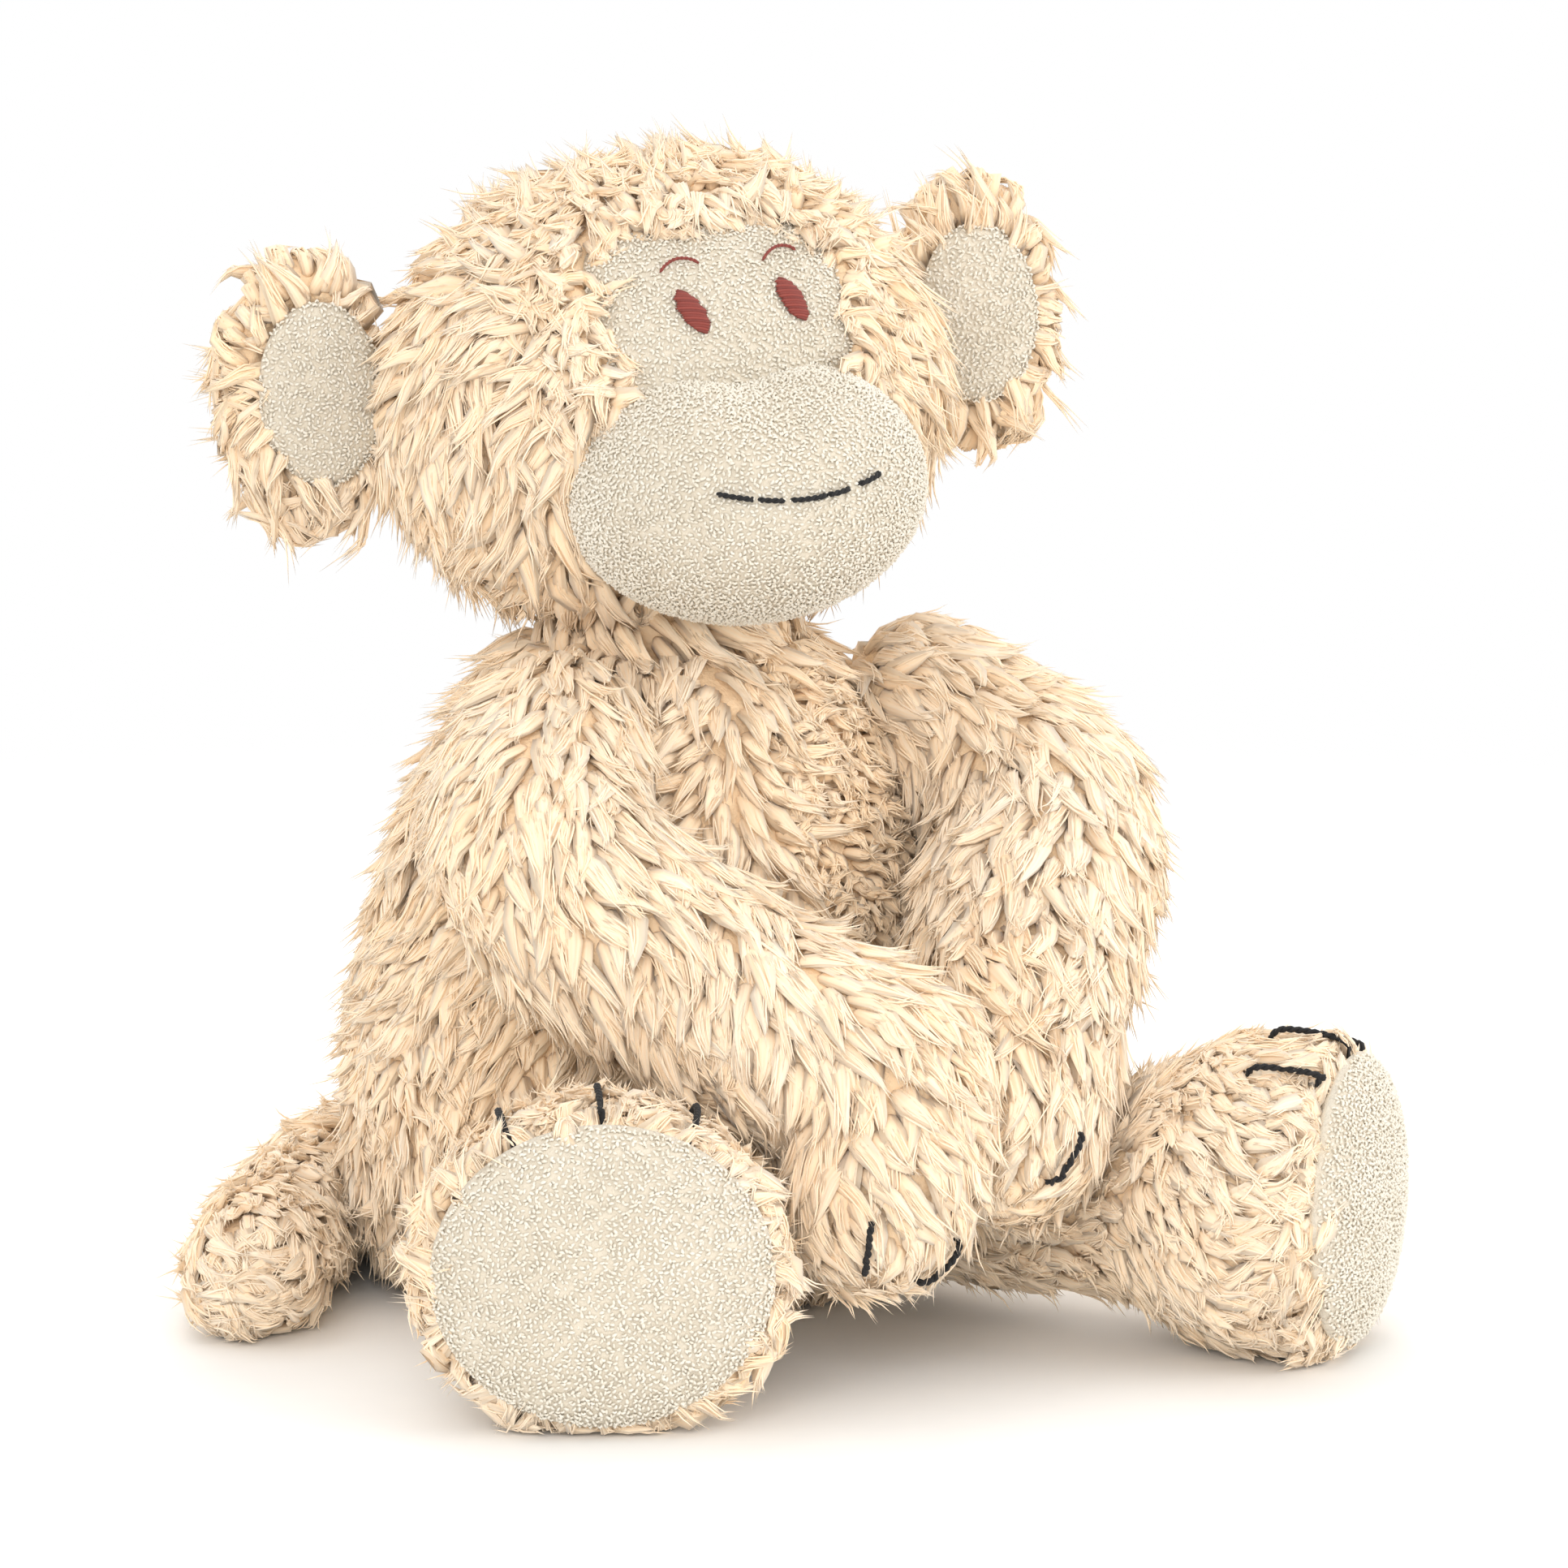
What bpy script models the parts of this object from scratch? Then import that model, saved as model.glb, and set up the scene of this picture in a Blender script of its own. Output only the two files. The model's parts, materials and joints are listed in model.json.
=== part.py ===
"""A sitting stuffed monkey: fur covers filled with wadding, with a terry face, muzzle, inner ears and soles.

It sits on the floor at z = 0 and faces -Y, so its left side is at +X. Sizes are in metres. Angles round
the body are in degrees from straight ahead, positive towards the monkey's left.
"""

import math

import bmesh
import bpy
from mathutils import Matrix, Vector

for old in list(bpy.data.objects):
    bpy.data.objects.remove(old, do_unlink=True)

# Clearances and layers
GAP = 0.0003  # between pieces that touch
FILL_GAP = 0.0011  # between a cover and its wadding
COVER = 0.004  # fur fabric with its pile pressed flat
TERRY = 0.003  # terry fabric
FLOOR_GAP = 0.0006  # under the feet and the tail

# Torso: a pear with a flat seat, from the seat up to the neck
TORSO_HEIGHT = 0.160
HIP_HEIGHT = 0.040
WAIST_HEIGHT = 0.102
SHOULDER_HEIGHT = 0.142
SEAT_WIDTH = 0.108
SEAT_DEPTH = 0.092
HIP_WIDTH = 0.150
HIP_DEPTH = 0.122
WAIST_WIDTH = 0.130
WAIST_DEPTH = 0.110
SHOULDER_WIDTH = 0.092
SHOULDER_DEPTH = 0.086
NECK_WIDTH = 0.054
HIP_BACK = 0.006  # the hips sit this far behind the neck

# Head, in a frame whose origin is the middle of the neck
NECK_RADIUS = 0.020
NECK_RISE = 0.004  # the neck's middle above the torso's rim
HEAD_WIDTH = 0.138
HEAD_DEPTH = 0.112
HEAD_HEIGHT = 0.106
HEAD_OPENING = 0.024  # radius of the hole for the neck
HEAD_RISE = 0.001  # the head's underside above the middle of the neck
HEAD_SHIFT = 0.006  # the head hangs this far to its left of the neck
HEAD_TURN = -5.0
HEAD_TILT = 5.0
MUZZLE_WIDTH = 0.086
MUZZLE_DEPTH = 0.086
MUZZLE_HEIGHT = 0.064
MUZZLE_FORWARD = 0.050  # from the head's middle to the muzzle's middle
MUZZLE_DROP = 0.018
MUZZLE_BACK = 40.0  # degrees round from the muzzle's back where its rings start, inside the head
MOUTH_WIDTH = 0.040
MOUTH_RISE = 0.002
MOUTH_SMILE = 0.003
FACE_WIDTH = 0.062
FACE_HEIGHT = 0.040
FACE_RISE = 0.024  # face panel's middle above the head's middle
WINDOW_DEPTH = 0.020  # of the cut through the head's cover for the face panel
EYE_WIDTH = 0.008
EYE_HEIGHT = 0.0115
EYE_SPACING = 0.025
EYE_SHIFT = 0.0035  # the eyes are sewn this far to the left of the face's middle
EYE_THICK = 0.001
BROW_WIDTH = 0.009
BROW_RISE = 0.0115  # above the eye's middle
BROW_ARCH = 0.0025

# Ears, sewn to the sides of the head
EAR_WIDTH = 0.042
EAR_HEIGHT = 0.069
EAR_THICK = 0.016
EAR_RISE = 0.009  # ear's middle above the head's middle
EAR_BACK = 0.016  # ear's middle behind the head's middle
EAR_HINGE = 0.008  # from the ear's root to the line it flaps about
EAR_SINK = 0.4  # share of the depth of one of the head's flats that the ear's root takes up
EAR_INNER_WIDTH = 0.028
EAR_INNER_HEIGHT = 0.048
EAR_INNER_THICK = 0.007
EAR_INNER_PROUD = 0.0016

# Arms: each station is height, angle round the body, distance out from the torso, radius
SHOULDER_RADIUS = 0.018
WRIST_RADIUS = 0.0205
WRIST_TUBE = 0.0185
HAND_RADIUS = 0.017
RIGHT_SHOULDER = (0.140, -50.0, 0.013, SHOULDER_RADIUS)
RIGHT_ARM = [(0.1185, -42.0, 0.0335, 0.0205), (0.097, -25.0, 0.034, 0.021), (0.082, -10.0, 0.049, 0.020)]
RIGHT_WRIST = (0.071, 1.0, 0.0635, WRIST_TUBE)
RIGHT_HAND = (0.045, -1.0, 0.0695, HAND_RADIUS)
LEFT_SHOULDER = (0.139, 78.0, 0.016, SHOULDER_RADIUS)
LEFT_ARM = [(0.117, 58.0, 0.0365, 0.022), (0.091, 37.0, 0.038, 0.022)]
LEFT_WRIST = (0.0762, 24.5, 0.0505, WRIST_TUBE)
LEFT_HAND = (0.0555, 17.2, 0.0625, HAND_RADIUS)

# Legs: a tube from the hip that swells into a foot with a flat sole
HIP_JOINT_HEIGHT = 0.032
HIP_JOINT_ANGLE = 41.0
HIP_JOINT_OUT = 0.009
HIP_RADIUS = 0.024
LEG_RADIUS = 0.022
ANKLE_BACK = 0.054  # from the sole back to the ankle
FOOT_WIDTH = 0.082
FOOT_HEIGHT = 0.072
FOOT_BACK = 0.020  # from the sole back to the foot's widest place
SOLE_WIDTH = 0.074
SOLE_HEIGHT = 0.066
SOLE_BULGE = 0.009
RIGHT_LEG_LENGTH = 0.090
RIGHT_LEG_HEADING = (-13.0, -22.0)  # at the hip and at the sole
LEFT_LEG_LENGTH = 0.110
LEFT_LEG_HEADING = (26.0, 48.0)

# Tail: each station is angle round the body and distance out from the torso
TAIL_RADIUS = 0.014
TAIL_ROOT = (-180.0, 0.007)
TAIL_ROUTE = [(-160.0, 0.0275), (-135.0, 0.021), (-110.0, 0.018), (-95.0, 0.026), (-81.0, 0.043)]
TAIL_ROOT_HEIGHT = 0.020

# Threads
SEAM_RADIUS = 0.0007
SEAM_OUT = 0.0012  # the seam's middle out from the chest
MOUTH_RADIUS = 0.0008
BROW_RADIUS = 0.0005
STITCH_RADIUS = 0.0007
TOE_STITCH = 0.020  # length along the foot
FINGER_STITCH = 0.010
SEAM_TOP = 0.150
SEAM_BOTTOM = 0.056

# How finely the forms are cut
TORSO_SIDES = 16
HEAD_SIDES = 16
HEAD_STEPS = 11
MUZZLE_SIDES = 16
ARM_SIDES = 10
LEG_SIDES = 12
TAIL_SIDES = 10
ROOT_HOLE = 0.006  # hole in a cover through which it is filled

parts = bpy.data.collections.new("stuffed_monkey")
cutters = bpy.data.collections.new("cutters")
bpy.context.scene.collection.children.link(parts)
bpy.context.scene.collection.children.link(cutters)


def material(name, colour, roughness):
    made = bpy.data.materials.new(name)
    made.use_nodes = True
    shader = made.node_tree.nodes["Principled BSDF"]
    shader.inputs["Base Color"].default_value = (*colour, 1.0)
    shader.inputs["Roughness"].default_value = roughness
    shader.inputs["Metallic"].default_value = 0.0
    return made


FUR = material("cream_fur", (0.86, 0.70, 0.48), 0.95)
TERRY_CLOTH = material("off_white_terry", (0.84, 0.75, 0.60), 0.95)
WADDING = material("white_wadding", (0.90, 0.90, 0.88), 1.0)
RUST_THREAD = material("rust_thread", (0.22, 0.045, 0.04), 0.55)
BLACK_THREAD = material("black_thread", (0.012, 0.012, 0.014), 0.7)
CREAM_THREAD = material("cream_thread", (0.80, 0.66, 0.46), 0.8)


def joint_empty(name, place, parent=None, rotation=None):
    """An empty on a joint's axis, which carries the pieces that turn there."""
    empty = bpy.data.objects.new(name, None)
    empty.location = place
    if rotation is not None:
        empty.rotation_euler = rotation
    empty.parent = parent
    parts.objects.link(empty)
    return empty


def add_object(name, data, finish, parent=None):
    made = bpy.data.objects.new(name, data)
    made.parent = parent
    parts.objects.link(made)
    data.materials.append(finish)
    return made


def add_cutter(name, data, parent=None):
    made = bpy.data.objects.new(name, data)
    made.parent = parent
    made.hide_render = True
    made.display_type = "WIRE"
    cutters.objects.link(made)
    return made


def cut(piece, cutter):
    boolean = piece.modifiers.new(cutter.name, "BOOLEAN")
    boolean.operation = "DIFFERENCE"
    boolean.solver = "EXACT"
    boolean.object = cutter


def thicken(piece, thickness, offset=-1.0):
    solidify = piece.modifiers.new("fabric", "SOLIDIFY")
    solidify.thickness = thickness
    solidify.offset = offset


def loft(name, rings, start=None, end=None):
    """A smooth skin over rings of points, closed at an end where a pole is given and open elsewhere."""
    bm = bmesh.new()
    rows = [[bm.verts.new(p) for p in ring] for ring in rings]
    count = len(rows[0])
    for low, high in zip(rows, rows[1:]):
        for i in range(count):
            j = (i + 1) % count
            bm.faces.new((low[i], low[j], high[j], high[i]))
    if start is not None:
        pole = bm.verts.new(start)
        for i in range(count):
            bm.faces.new((rows[0][(i + 1) % count], rows[0][i], pole))
    if end is not None:
        pole = bm.verts.new(end)
        for i in range(count):
            bm.faces.new((rows[-1][i], rows[-1][(i + 1) % count], pole))
    data = bpy.data.meshes.new(name)
    bm.to_mesh(data)
    bm.free()
    data.shade_smooth()
    return data


def ellipsoid(name, middle, size, sides=16, rings=10):
    """A closed ball scaled to three widths, with its poles up and down."""
    bm = bmesh.new()
    scale = Matrix.Diagonal((*(0.5 * s for s in size), 1.0))
    bmesh.ops.create_uvsphere(
        bm, u_segments=sides, v_segments=rings, radius=1.0, matrix=Matrix.Translation(middle) @ scale
    )
    data = bpy.data.meshes.new(name)
    bm.to_mesh(data)
    bm.free()
    data.shade_smooth()
    return data


def socket(name, middle, radius, parent=None, sides=16, rings=8):
    """A ball cutter whose flats all clear a ball of the given radius."""
    flats = math.cos(math.pi / sides) * math.cos(math.pi / (2 * rings))
    width = 2 * (radius + GAP) / flats
    return add_cutter(name, ellipsoid(name, middle, (width, width, width), sides, rings), parent)


def thread(name, points, radius, finish, parent=None):
    """A thread along points, as a round curve with closed ends."""
    curve = bpy.data.curves.new(name, "CURVE")
    curve.dimensions = "3D"
    curve.bevel_depth = radius
    curve.bevel_resolution = 1
    curve.use_fill_caps = True
    spline = curve.splines.new("POLY")
    spline.points.add(len(points) - 1)
    for slot, p in zip(spline.points, points):
        slot.co = (*p, 1.0)
    return add_object(name, curve, finish, parent)


def smooth_through(knots, x):
    """A smooth value at x through (x, value) knots, level at the first one."""
    last = len(knots) - 2
    k = max(i for i in range(last + 1) if knots[i][0] <= x or i == 0)
    (x0, v0), (x1, v1) = knots[k], knots[k + 1]

    def slope(i):
        if i == 0:
            return 0.0
        if i == last + 1:
            return (knots[i][1] - knots[i - 1][1]) / (knots[i][0] - knots[i - 1][0])
        return (knots[i + 1][1] - knots[i - 1][1]) / (knots[i + 1][0] - knots[i - 1][0])

    span = x1 - x0
    t = (x - x0) / span
    rise = (2 * t**3 - 3 * t**2 + 1) * v0 + (3 * t**2 - 2 * t**3) * v1
    return rise + span * ((t**3 - 2 * t**2 + t) * slope(k) + (t**3 - t**2) * slope(k + 1))


def smooth_path(points, steps):
    """Points along a smooth curve through the given ones, with the given steps between each two."""
    ends = [2 * points[0] - points[1], *points, 2 * points[-1] - points[-2]]
    path = []
    for a, b, c, d in zip(ends, ends[1:], ends[2:], ends[3:]):
        for k in range(steps):
            t = k / steps
            bend = (2 * a - 5 * b + 4 * c - d) * t**2 + (3 * b - 3 * c + d - a) * t**3
            path.append(b + 0.5 * ((c - a) * t + bend))
    return [*path, points[-1].copy()]


def heading(angle):
    """The level direction at an angle round the body."""
    turn = math.radians(angle)
    return Vector((math.sin(turn), -math.cos(turn), 0.0))


def ring(middle, side, up, half_width, half_height, sides):
    turns = [2 * math.pi * i / sides for i in range(sides)]
    return [middle + side * half_width * math.cos(a) + up * half_height * math.sin(a) for a in turns]


# Torso


def torso_section(height):
    """The torso's middle (y), half width and half depth at a height."""
    if height < HIP_HEIGHT:
        round_off = math.sqrt(max(0.0, 1.0 - ((HIP_HEIGHT - height) / HIP_HEIGHT) ** 2))
        width = SEAT_WIDTH + (HIP_WIDTH - SEAT_WIDTH) * round_off
        depth = SEAT_DEPTH + (HIP_DEPTH - SEAT_DEPTH) * round_off
        return HIP_BACK, width / 2, depth / 2
    heights = (HIP_HEIGHT, WAIST_HEIGHT, SHOULDER_HEIGHT, TORSO_HEIGHT)
    widths = (HIP_WIDTH, WAIST_WIDTH, SHOULDER_WIDTH, NECK_WIDTH)
    depths = (HIP_DEPTH, WAIST_DEPTH, SHOULDER_DEPTH, NECK_WIDTH)
    width = smooth_through(list(zip(heights, widths)), height)
    depth = smooth_through(list(zip(heights, depths)), height)
    lean = (TORSO_HEIGHT - height) / (TORSO_HEIGHT - HIP_HEIGHT)
    return HIP_BACK * lean, width / 2, depth / 2


def around_torso(height, angle, out):
    """A point at an angle round the torso, the given distance out from its surface."""
    middle, half_width, half_depth = torso_section(height)
    ahead = heading(angle)
    reach = 1.0 / math.hypot(ahead.x / half_width, ahead.y / half_depth)
    return Vector((0.0, middle, height)) + ahead * (reach + out)


def torso_heights(bottom, top):
    seat_steps, body_steps = 5, 9
    low = [HIP_HEIGHT * (1.0 - math.cos(0.5 * math.pi * k / seat_steps)) for k in range(seat_steps)]
    high = [HIP_HEIGHT + (TORSO_HEIGHT - HIP_HEIGHT) * k / body_steps for k in range(body_steps + 1)]
    return [bottom + (top - bottom) * h / TORSO_HEIGHT for h in [*low, *high]]


def torso_rings(inset):
    rings = []
    for height, outer in zip(torso_heights(inset, TORSO_HEIGHT - inset), torso_heights(0.0, TORSO_HEIGHT)):
        middle, half_width, half_depth = torso_section(outer)
        place = Vector((0.0, middle, height))
        half_width -= inset
        half_depth -= inset
        rings.append(ring(place, Vector((1, 0, 0)), Vector((0, 1, 0)), half_width, half_depth, TORSO_SIDES))
    return rings


def seat_middle(height):
    return Vector((0.0, torso_section(0.0)[0], height))


fill_inset = COVER + FILL_GAP
cover_rings = torso_rings(0.0)
torso_cover = add_object("torso_cover", loft("torso_cover", cover_rings, start=seat_middle(0.0)), FUR)
thicken(torso_cover, COVER)
fill_rings = torso_rings(fill_inset)
neck_top = Vector((0.0, torso_section(TORSO_HEIGHT)[0], TORSO_HEIGHT - fill_inset))
torso_stuffing = add_object(
    "torso_stuffing", loft("torso_stuffing", fill_rings, start=seat_middle(fill_inset), end=neck_top), WADDING
)

front = 3 * TORSO_SIDES // 4
seam_line = [r[front] for r in cover_rings if SEAM_BOTTOM <= r[front].z <= SEAM_TOP]
seam_out = Vector((0.0, -SEAM_OUT, 0.0))
thread("chest_seam", [p + seam_out for p in seam_line], SEAM_RADIUS, CREAM_THREAD)

# Neck and head

neck = Vector((0.0, torso_section(TORSO_HEIGHT)[0], TORSO_HEIGHT + NECK_RISE))
neck_joint = joint_empty("neck_joint", neck)
neck_width = 2 * NECK_RADIUS
add_object(
    "neck_stuffing",
    ellipsoid("neck_stuffing", Vector((0, 0, 0)), (neck_width, neck_width, neck_width)),
    WADDING,
    neck_joint,
)
cut(torso_stuffing, socket("neck_socket", neck, NECK_RADIUS))

head_turn = (0.0, -math.radians(HEAD_TILT), math.radians(HEAD_TURN))
head_joint = joint_empty("head_joint", neck, rotation=head_turn)
head_half = Vector((HEAD_WIDTH / 2, HEAD_DEPTH / 2, HEAD_HEIGHT / 2))
head_middle = Vector((HEAD_SHIFT, 0.0, head_half.z + HEAD_RISE))


def head_rings(inset, opening, sides=HEAD_SIDES, steps=HEAD_STEPS):
    """Level rings up the head, from its neck opening to just under its crown."""
    half = head_half - Vector((inset, inset, inset))
    first = math.asin(opening / half.x)
    rings = []
    for k in range(steps):
        polar = first + (math.pi - first) * k / steps
        place = head_middle - Vector((0, 0, half.z * math.cos(polar)))
        wide = half.x * math.sin(polar)
        deep = half.y * math.sin(polar)
        rings.append(ring(place, Vector((1, 0, 0)), Vector((0, 1, 0)), wide, deep, sides))
    return rings, head_middle + Vector((0, 0, half.z)), head_middle - Vector((0, 0, half.z))


def head_front(x, z, out):
    """A point on the front of the head at x and z from its middle, the given distance out."""
    y = -head_half.y * math.sqrt(1.0 - (x / head_half.x) ** 2 - (z / head_half.z) ** 2)
    outward = Vector((x / head_half.x**2, y / head_half.y**2, z / head_half.z**2)).normalized()
    return head_middle + Vector((x, y, z)) + outward * out


def head_patch(name, outline, out, rings=4, sides=24):
    """A patch that follows the front of the head inside an outline, given as x and z at an angle."""
    bm = bmesh.new()
    middle = outline(0.0, 0.0)
    pole = bm.verts.new(head_front(*middle, out))
    rows = []
    for k in range(1, rings + 1):
        turns = [2 * math.pi * i / sides for i in range(sides)]
        rows.append([bm.verts.new(head_front(*outline(a, k / rings), out)) for a in turns])
    for i in range(sides):
        j = (i + 1) % sides
        bm.faces.new((pole, rows[0][i], rows[0][j]))
        for low, high in zip(rows, rows[1:]):
            bm.faces.new((low[i], high[i], high[j], low[j]))
    data = bpy.data.meshes.new(name)
    bm.to_mesh(data)
    bm.free()
    data.shade_smooth()
    return data


def rounded_box(width, height, rise, square=4.0):
    """An outline between an ellipse and a box, as a function of angle and share of its size."""

    def outline(angle, share):
        c, s = math.cos(angle), math.sin(angle)
        reach = (abs(c) ** square + abs(s) ** square) ** (-1.0 / square)
        return share * reach * c * width / 2, rise + share * reach * s * height / 2

    return outline


rings, crown, base = head_rings(0.0, HEAD_OPENING)
head_cover = add_object("head_cover", loft("head_cover", rings, end=crown), FUR, head_joint)
thicken(head_cover, COVER)
rings, crown, base = head_rings(fill_inset, HEAD_OPENING / 2)
head_stuffing = add_object("head_stuffing", loft("head_stuffing", rings, base, crown), WADDING, head_joint)
head_socket = socket("head_socket", Vector((0, 0, 0)), NECK_RADIUS, head_joint)
cut(head_cover, head_socket)
cut(head_stuffing, head_socket)

window = add_cutter(
    "face_window",
    head_patch("face_window", rounded_box(FACE_WIDTH + 2 * GAP, FACE_HEIGHT + 2 * GAP, FACE_RISE), 0.0),
    head_joint,
)
thicken(window, WINDOW_DEPTH, 0.0)
cut(head_cover, window)
face = add_object(
    "face_panel",
    head_patch("face_panel", rounded_box(FACE_WIDTH, FACE_HEIGHT, FACE_RISE), 0.0),
    TERRY_CLOTH,
    head_joint,
)
thicken(face, COVER)

# Muzzle

muzzle_half = Vector((MUZZLE_WIDTH / 2, MUZZLE_DEPTH / 2, MUZZLE_HEIGHT / 2))
muzzle_middle = head_middle + Vector((0.0, -MUZZLE_FORWARD, -MUZZLE_DROP))


def muzzle_rings(inset):
    """Upright rings along the muzzle, from behind its middle to its front."""
    half = muzzle_half - Vector((inset, inset, inset))
    steps = 8
    first = math.radians(MUZZLE_BACK)
    rings = []
    for k in range(steps):
        polar = first + (math.pi - first) * k / steps
        place = muzzle_middle + Vector((0, half.y * math.cos(polar), 0))
        wide = half.x * math.sin(polar)
        tall = half.z * math.sin(polar)
        rings.append(ring(place, Vector((1, 0, 0)), Vector((0, 0, 1)), wide, tall, MUZZLE_SIDES))
    back = Vector((muzzle_middle.x, rings[0][0].y, muzzle_middle.z))
    return rings, back, muzzle_middle - Vector((0, half.y, 0))


def muzzle_front(x, z, out):
    y = -muzzle_half.y * math.sqrt(1.0 - (x / muzzle_half.x) ** 2 - (z / muzzle_half.z) ** 2)
    outward = Vector((x / muzzle_half.x**2, y / muzzle_half.y**2, z / muzzle_half.z**2)).normalized()
    return muzzle_middle + Vector((x, y, z)) + outward * out


# The cutter is finer than the head and a little larger, so that its flats clear the face panel.
rings, crown, base = head_rings(-2 * GAP, HEAD_OPENING, 2 * HEAD_SIDES, 2 * HEAD_STEPS)
head_form = add_cutter("head_form", loft("head_form", rings, base, crown), head_joint)
rings, back, tip = muzzle_rings(0.0)
muzzle_cover = add_object("muzzle_cover", loft("muzzle_cover", rings, end=tip), TERRY_CLOTH, head_joint)
thicken(muzzle_cover, TERRY)
cut(muzzle_cover, head_form)
rings, back, tip = muzzle_rings(TERRY + FILL_GAP)
muzzle_fill = loft("muzzle_stuffing", rings, back, tip)
muzzle_stuffing = add_object("muzzle_stuffing", muzzle_fill, WADDING, head_joint)
cut(muzzle_stuffing, head_form)

mouth = []
mouth_steps = 12
for k in range(mouth_steps + 1):
    share = 2.0 * k / mouth_steps - 1.0
    mouth.append(
        muzzle_front(share * MOUTH_WIDTH / 2, MOUTH_RISE + MOUTH_SMILE * share**2, MOUTH_RADIUS + GAP)
    )
thread("mouth_thread", mouth, MOUTH_RADIUS, BLACK_THREAD, head_joint)

# Eyes and brows

for side, sign in (("right", -1), ("left", 1)):
    across = sign * EYE_SPACING / 2 + EYE_SHIFT

    def eye_outline(angle, share, across=across):
        x = across + share * math.cos(angle) * EYE_WIDTH / 2
        return x, FACE_RISE + share * math.sin(angle) * EYE_HEIGHT / 2

    name = f"{side}_eye"
    eye = add_object(name, head_patch(name, eye_outline, GAP, 2, 12), RUST_THREAD, head_joint)
    thicken(eye, EYE_THICK, 1.0)
    brow = []
    brow_steps = 6
    for k in range(brow_steps + 1):
        share = 2.0 * k / brow_steps - 1.0
        rise = FACE_RISE + BROW_RISE - BROW_ARCH * share**2
        brow.append(head_front(across + share * BROW_WIDTH / 2, rise, BROW_RADIUS + GAP))
    thread(f"{side}_brow", brow, BROW_RADIUS, RUST_THREAD, head_joint)

# Ears

ear_place = (EAR_BACK / head_half.y) ** 2 + (EAR_RISE / head_half.z) ** 2
flat_depth = head_half.x * (1.0 - math.cos(math.pi / HEAD_SIDES))
ear_root = head_half.x * math.sqrt(1.0 - ear_place) - EAR_SINK * flat_depth + GAP
for side, sign in (("right", -1), ("left", 1)):
    hinge = head_middle + Vector((sign * (ear_root + EAR_HINGE), EAR_BACK, EAR_RISE))
    ear_joint = joint_empty(f"{side}_ear_joint", hinge, head_joint)
    middle = Vector((sign * (EAR_WIDTH / 2 - EAR_HINGE), 0.0, 0.0))
    ear_size = (EAR_WIDTH, EAR_THICK, EAR_HEIGHT)
    name = f"{side}_ear_back"
    ear_back = add_object(name, ellipsoid(name, middle, ear_size, 16, 10), FUR, ear_joint)
    inner_front = EAR_THICK / 2 + EAR_INNER_PROUD
    inner_middle = middle - Vector((0.0, inner_front - EAR_INNER_THICK / 2, 0.0))
    inner_size = (EAR_INNER_WIDTH, EAR_INNER_THICK, EAR_INNER_HEIGHT)
    name = f"{side}_ear_inner"
    add_object(name, ellipsoid(name, inner_middle, inner_size, 16, 8), TERRY_CLOTH, ear_joint)
    pocket_size = tuple(s + 2 * GAP for s in inner_size)
    name = f"{side}_ear_pocket"
    cut(ear_back, add_cutter(name, ellipsoid(name, inner_middle, pocket_size, 16, 8), ear_joint))


# Limbs


def frames_along(path):
    """Tangent, side and up at each point of a path, turning as little as possible along it."""
    tangents = []
    for k in range(len(path)):
        before = path[max(k - 1, 0)]
        after = path[min(k + 1, len(path) - 1)]
        tangents.append((after - before).normalized())
    side = tangents[0].cross(Vector((0, 0, 1))).normalized()
    frames = []
    for tangent in tangents:
        side = (side - tangent * side.dot(tangent)).normalized()
        frames.append((tangent, side, tangent.cross(side)))
    return frames


def limb_rings(path, radii, sides, inset=0.0, root_hole=0.0, tip_bulge=0.0):
    """Rings of a limb that starts as a ball on its joint; its ends' poles come with them.

    radii holds a half width and a half height for each point of the path. The far end is flat where
    tip_bulge is zero, and a dome that far out where it isn't.
    """
    frames = frames_along(path)
    steps = 3
    rings = []
    tangent, side, up = frames[0]
    root = radii[0][0] - inset
    first = math.asin(root_hole / root) if root_hole else 0.5 * math.pi / (2 * steps)
    for k in range(steps):
        polar = first + (0.5 * math.pi - first) * k / steps
        place = path[0] - tangent * root * math.cos(polar)
        rings.append(ring(place, side, up, root * math.sin(polar), root * math.sin(polar), sides))
    for k, (place, (tangent, side, up), (wide, tall)) in enumerate(zip(path, frames, radii)):
        before, after = max(k - 1, 0), min(k + 1, len(path) - 1)
        run = (path[after] - path[before]).length
        steep = math.hypot(1.0, (radii[after][0] - radii[before][0]) / run)
        rings.append(ring(place, side, up, wide - inset * steep, tall - inset * steep, sides))
    tangent, side, up = frames[-1]
    wide, tall = (r - inset for r in radii[-1])
    if tip_bulge:
        for k in range(1, steps):
            polar = 0.5 * math.pi * k / steps
            place = path[-1] + tangent * tip_bulge * math.sin(polar)
            rings.append(ring(place, side, up, wide * math.cos(polar), tall * math.cos(polar), sides))
    return rings, path[0] - frames[0][0] * root, path[-1] + tangent * tip_bulge


def spread(values, count):
    """As many values as there are points on a path, smoothly between the given ones."""
    knots = [(float(i), v) for i, v in enumerate(values)]
    last = len(values) - 1
    return [smooth_through(knots, last * k / (count - 1)) for k in range(count)]


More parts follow.
